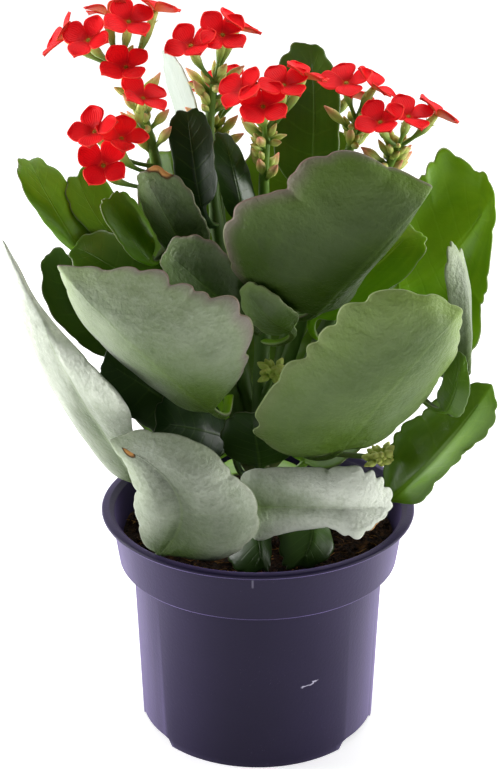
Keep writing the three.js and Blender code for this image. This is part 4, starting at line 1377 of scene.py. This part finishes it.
# %% Spray table
SPRAYS = {
    "left": ("a", [(-38, 7, 226), (-43, 3, 246), (-49, -1, 260)], [
        ((-59, -6, 270), (-0.25, -0.6, 0.75), 1), ((-45, -4, 276), (0.15, -0.5, 0.85), 1),
        ((-36, 2, 279), (0.35, 0.2, 0.9), 0.9), ((-53, 4, 277), (-0.1, 0.4, 0.9), 1),
        ((-68, 2, 269), (-0.8, -0.1, 0.6), 0.95), ((-46, -8, 261), (0, -0.5, 0.85), 0.75),
        ((-40, -12, 251), (0.3, -0.3, 0.9), 0.55), ((-57, -12, 239), (-0.3, -0.5, 0.8), 0.3),
        ((-48, -10, 236), (0.2, -0.4, 0.9), 0.25), ((-54, -16, 228), (0, -0.75, 0.65), 0.15)], 8, 11),
    "middle_left": ("b", [(-18, 13, 238), (-16, 10, 252)], [
        ((-24, 4, 266), (-0.2, -0.5, 0.85), 1), ((-13, 8, 269), (0.1, -0.6, 0.8), 1),
        ((-8, 14, 270), (0.5, 0.1, 0.85), 0.9)], 7, 23),
    "middle": ("c", [(2, -2, 220), (3, -8, 240)], [
        ((-5, -14, 254), (-0.4, -0.4, 0.8), 1), ((2, -18, 250), (0, -0.65, 0.75), 0.9),
        ((9, -12, 256), (0, -0.4, 0.9), 1), ((16, -8, 258), (0.4, 0.1, 0.9), 0.95)], 8, 37),
    "middle_right": ("d", [(33, 18, 226), (35, 13, 238)], [
        ((31, 8, 252), (-0.1, -0.4, 0.9), 1), ((41, 10, 250), (0.6, -0.1, 0.8), 1)], 6, 41),
    "right": ("e", [(46, 10, 219), (50, 5, 230)], [
        ((43, -4, 241), (-0.2, -0.5, 0.85), 1), ((53, 0, 242), (0.2, -0.3, 0.93), 1),
        ((63, 4, 242), (0.6, 0.1, 0.8), 1)], 8, 53),
    "back_left": ("f", [(-17, 38, 218), (-18, 42, 228)], [
        ((-22, 50, 238), (-0.2, 0.5, 0.85), 1), ((-10, 48, 240), (0.2, 0.4, 0.9), 1),
        ((-13, 39, 244), (0, -0.2, 0.95), 1)], 6, 67),
    "back_right": ("g", [(22, 40, 218), (24, 44, 228)], [
        ((22, 52, 240), (0, 0.5, 0.85), 1), ((33, 46, 238), (0.5, 0.3, 0.8), 1),
        ((14, 46, 242), (-0.4, 0.2, 0.9), 1)], 6, 71),
}
print("sprays listed:", len(SPRAYS))

# %% [markdown]
# ## Buds and sepals
# The buds must stand where the measured ones do, so they are drawn from the same small repeatable random
# source, in the same order. A bud that would touch a bloom is drawn again. Sepals are the small pointed
# leaves round the foot of a bloom or a bud. Each is a narrow grid that leans outwards.

# %% Buds and sepals
PETAL_LENGTH = 8.8
SEPALS = 4


class Draws:
    """A small repeatable random source."""

    def __init__(self, seed):
        self.state = seed

    def next(self):
        self.state = self.state * 16807 % 2147483647
        return self.state / 2147483647


def bud_lines(draws, count, line, centres):
    """Where each bud's stalk starts and ends, and the way it faces."""
    found = []
    while len(found) < count:
        turn = 2 * math.pi * draws.next()
        facing = Vector((math.cos(turn), math.sin(turn), 0.6 + draws.next())).normalized()
        start = line.at(0.35 + 0.6 * draws.next())
        end = start + facing * (11 + 5 * draws.next())
        if all((centre - end).length > PETAL_LENGTH + 2.5 for centre in centres):
            found.append((start, end, facing))
    return found


def add_sepals(mesh, middle, facing, length, spread):
    side = facing.orthogonal().normalized()
    for i in range(SEPALS):
        out = Matrix.Rotation(2 * math.pi * i / SEPALS + 0.4, 3, facing) @ side
        across_way = facing.cross(out)

        def rule(across, along):
            half = (1 - along) ** 0.7
            away = 1.0 + spread * along ** 1.5 - 0.25 * across * across
            return middle + facing * length * along + out * away + across_way * half * across

        bend_grid(mesh, 4, 6, rule, lambda across, along: ((across + 1) / 2, 0.5 + 0.5 * along))


print("bud and sepal helpers ready")

# %% [markdown]
# ## Growing the sprays
# Under a bloom the side stalk swells into a slim green tube with four pointed sepals, and a bud has the
# same form, closed at its tip. Smaller buds fill the heads. They have a seeded source of their own, so they
# don't disturb the places of the measured ones.

# %% Sprays
FLOWER_TUBE = [0.9, 0.8, 0.75, 0.75, 0.8, 1.15, 1.6, 1.75, 1.6, 1.35, 1.2]
BUD = [0.8, 0.75, 0.75, 0.8, 0.95, 1.35, 1.65, 1.75, 1.6, 1.2, 0.75, 0.25]
SMALL_BUDS_PER_BUD = 3
STALK_END_RADIUS = 1.5
HIGHEST_SEAT = 0.985

random.seed(77)
for name, (shoot, stalk, blooms, bud_count, seed) in SPRAYS.items():
    point, tangent, radius = shoot_at(shoot, 1)
    line = smooth_line([point - 0.5 * tangent, point + 3 * tangent, *stalk])
    mesh = bmesh.new()
    add_stalk(mesh, line, [radius, STALK_END_RADIUS], 14, 30, chart_end=0.45)
    centres = [Vector(centre) for centre, _, _ in blooms]
    for centre, (_, facing, share) in zip(centres, blooms):
        facing = Vector(facing).normalized()
        end = centre - facing * 0.4
        start = line.at(min(share, HIGHEST_SEAT))
        add_stalk(mesh, side_stalk(start, end, facing), FLOWER_TUBE, 10, 20, chart_end=0.9)
        add_sepals(mesh, end - facing * 5.2, facing, length=2.8, spread=1.3)
    for start, end, facing in bud_lines(Draws(seed), bud_count, line, centres):
        add_stalk(mesh, side_stalk(start, end, facing), BUD, 10, 22, chart_end=1.7)
        add_sepals(mesh, end - facing * 5.6, facing, length=2.2, spread=0.7)
    for _ in range(SMALL_BUDS_PER_BUD * bud_count):
        turn = random.uniform(0, 2 * math.pi)
        facing = Vector((math.cos(turn), math.sin(turn), random.uniform(0.2, 1.8))).normalized()
        start = line.at(random.uniform(0.55, 1))
        end = start + facing * random.uniform(5, 10.5)
        if all((centre - end).length > PETAL_LENGTH for centre in centres):
            scale = random.uniform(0.5, 0.95)
            add_stalk(mesh, side_stalk(start, end, facing), [r * scale for r in BUD], 8, 14, chart_end=1.4)
    add_piece(f"spray_{name}_fine", mesh, SPRAY, replaces=[f"spray_{name}"], slot="spray_green")
print("sprays grown:", len(SPRAYS))

# %% [markdown]
# ## Petals
# A bloom has four broad petals, each tilted so that it overlaps the next like the blades of a propeller.
# One petal is a flat grid, made narrow at the foot, wide in the middle and slightly pointed at the tip. It
# rises from the throat like a funnel and then bends outwards, some petals more than others.

# %% Petals
PETALS = 4
PETAL_FOOT = 0.5
PETAL_LIFT = 3.4
PETAL_HALF_WIDTH = 4.1
PETAL_POINT = 0.35
PETAL_TILT = 0.45
PETAL_HOLLOW = 0.9


def petal_rule(centre, up, out, sideways, size, droop):
    def rule(across, along):
        far = math.sin(math.pi * along / 2)
        radius = PETAL_FOOT + (PETAL_LENGTH - PETAL_FOOT) * far * size
        radius += PETAL_POINT * (1 - abs(across)) * far ** 8
        widening = max(math.sin(math.pi * far ** 1.35), 0) ** 0.72
        half = PETAL_FOOT * (1 - far) + PETAL_HALF_WIDTH * size * widening
        lift = PETAL_LIFT * far ** 0.8 - droop * far ** 3
        lift += PETAL_TILT * across * math.sin(math.pi * far) + PETAL_HOLLOW * across * across * far
        return centre + up * lift + out * radius + sideways * half * across
    return rule


def grow_bloom(mesh, centre, facing, others):
    """One petal points away from the nearest bloom, and the rest follow round."""
    away = min((other - centre for other in others), key=lambda step: step.length)
    sideways = facing.cross(away).normalized()
    onwards = sideways.cross(facing)
    for quarter in range(PETALS):
        turn = 2 * math.pi * quarter / PETALS + random.uniform(-0.08, 0.08)
        out = math.cos(turn) * onwards + math.sin(turn) * sideways
        size, droop = random.uniform(1.0, 1.14), random.uniform(0.2, 2.4)
        bend_grid(mesh, 10, 12, petal_rule(centre, facing, out, out.cross(facing), size, droop))


print("petals can be grown")

# %% [markdown]
# ## Blooms
# The blooms of one spray are one piece. Solidify gives the petals their thickness and their orange back.
# The throats are a second piece: a short plug in each bloom, with four tiny stamens on it.

# %% Blooms
PETAL_THICKNESS = 0.45
STAMENS = 4
STAMEN_RADIUS = 0.22


def add_throat(mesh, centre, facing):
    add_stalk(mesh, bent(centre - facing, centre + facing * 0.5), [1.0, 1.0, 0.8], 12, 6)
    out = facing.orthogonal().normalized() * 0.5
    for i in range(STAMENS):
        turn = Matrix.Rotation(2 * math.pi * i / STAMENS + math.pi / 4, 3, facing)
        spot = centre + facing * 0.6 + turn @ out
        for vert in bmesh.ops.create_icosphere(mesh, subdivisions=1, radius=STAMEN_RADIUS)["verts"]:
            vert.co = (vert.co + spot) * MM


random.seed(9)
for name, (_, _, blooms, _, _) in SPRAYS.items():
    mesh = bmesh.new()
    throats = bmesh.new()
    centres = [Vector(centre) for centre, _, _ in blooms]
    for centre, (_, facing, _) in zip(centres, blooms):
        facing = Vector(facing).normalized()
        grow_bloom(mesh, centre, facing, [other for other in centres if other is not centre])
        add_throat(throats, centre, facing)
    prefix = f"blooms_{name}_"
    nodes = [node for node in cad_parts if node.startswith(prefix)]
    nodes = [node for node in nodes if node.removeprefix(prefix).isdigit()]
    thicken(add_piece(f"blooms_{name}", mesh, *PETAL, replaces=nodes, slot="petal_red"), PETAL_THICKNESS)
    add_piece(f"throats_{name}", throats, THROAT, slot="petal_red")
print("blooms opened:", sum(len(row[2]) for row in SPRAYS.values()))

# %% [markdown]
# ## Floor
# The plant stands on a plain white floor, large enough to fill the picture. It glows a little, so it stays
# white right up to the pot, and the pot's shadow on it is faint.

# %% Floor
FLOOR_HALF = 3


def paper():
    made = Finish("white_floor", Specular_IOR_Level=0.1, Emission_Color=(1, 1, 1), Emission_Strength=0.6)
    tone = made.speckle(4, 2)
    return made.finish(made.mix(tone, shade("#f1f1f1"), shade("#f5f5f5")), 0.85 + 0.02 * tone)


floor_mesh = bmesh.new()
bmesh.ops.create_grid(floor_mesh, x_segments=2, y_segments=2, size=FLOOR_HALF)
floor = build("floor", floor_mesh, [paper()])
print("floor laid")

# %% [markdown]
# ## Light panels
# The light is soft, as in a light tent. One large panel above and a little behind and one on each side
# model the leaves.

# %% Panels
PLANT_MIDDLE = Vector((0, 0, 0.15))


def panel(name, place, size, power):
    light = bpy.data.lights.new(name, "AREA")
    light.shape = "SQUARE"
    light.size = size
    light.energy = power
    holder = add_object(name, light)
    holder.location = place
    aim(holder, PLANT_MIDDLE - Vector(place))


panel("top_panel", (0.1, 0.2, 1.3), 0.8, 8)
panel("left_panel", (-1.0, 0.1, 0.25), 0.6, 14.5)
panel("right_panel", (1.0, 0.0, 0.12), 0.6, 13.5)
print("panels placed")

# %% [markdown]
# ## Surround
# The surround is bright behind the plant and dark in front, which draws the pale edges down both sides of
# the pot. The camera itself always sees it at full strength, so the background is white from every side.

# %% Surround
surround = bpy.data.worlds.new("surround")
bpy.context.scene.world = surround
surround.use_nodes = True
net = Net(surround.node_tree)
background = net.tree.nodes["Background"]
depth = net.parts(net.node("ShaderNodeTexCoord", output="Generated"))[1]
glow = net.ease(depth, -0.3, 0.8, 0.03, 1.05)
seen = net.node("ShaderNodeLightPath", output="Is Camera Ray")
net.plug(background.inputs["Strength"], glow.math("MAXIMUM", glow, seen))
net.plug(background.inputs["Color"], (1, 1, 1))
bpy.context.scene.view_settings.view_transform = "Standard"
print("surround lit")

# %% [markdown]
# ## The end
# The finer pieces must stay inside the measured plant.

# %% End
print("done")
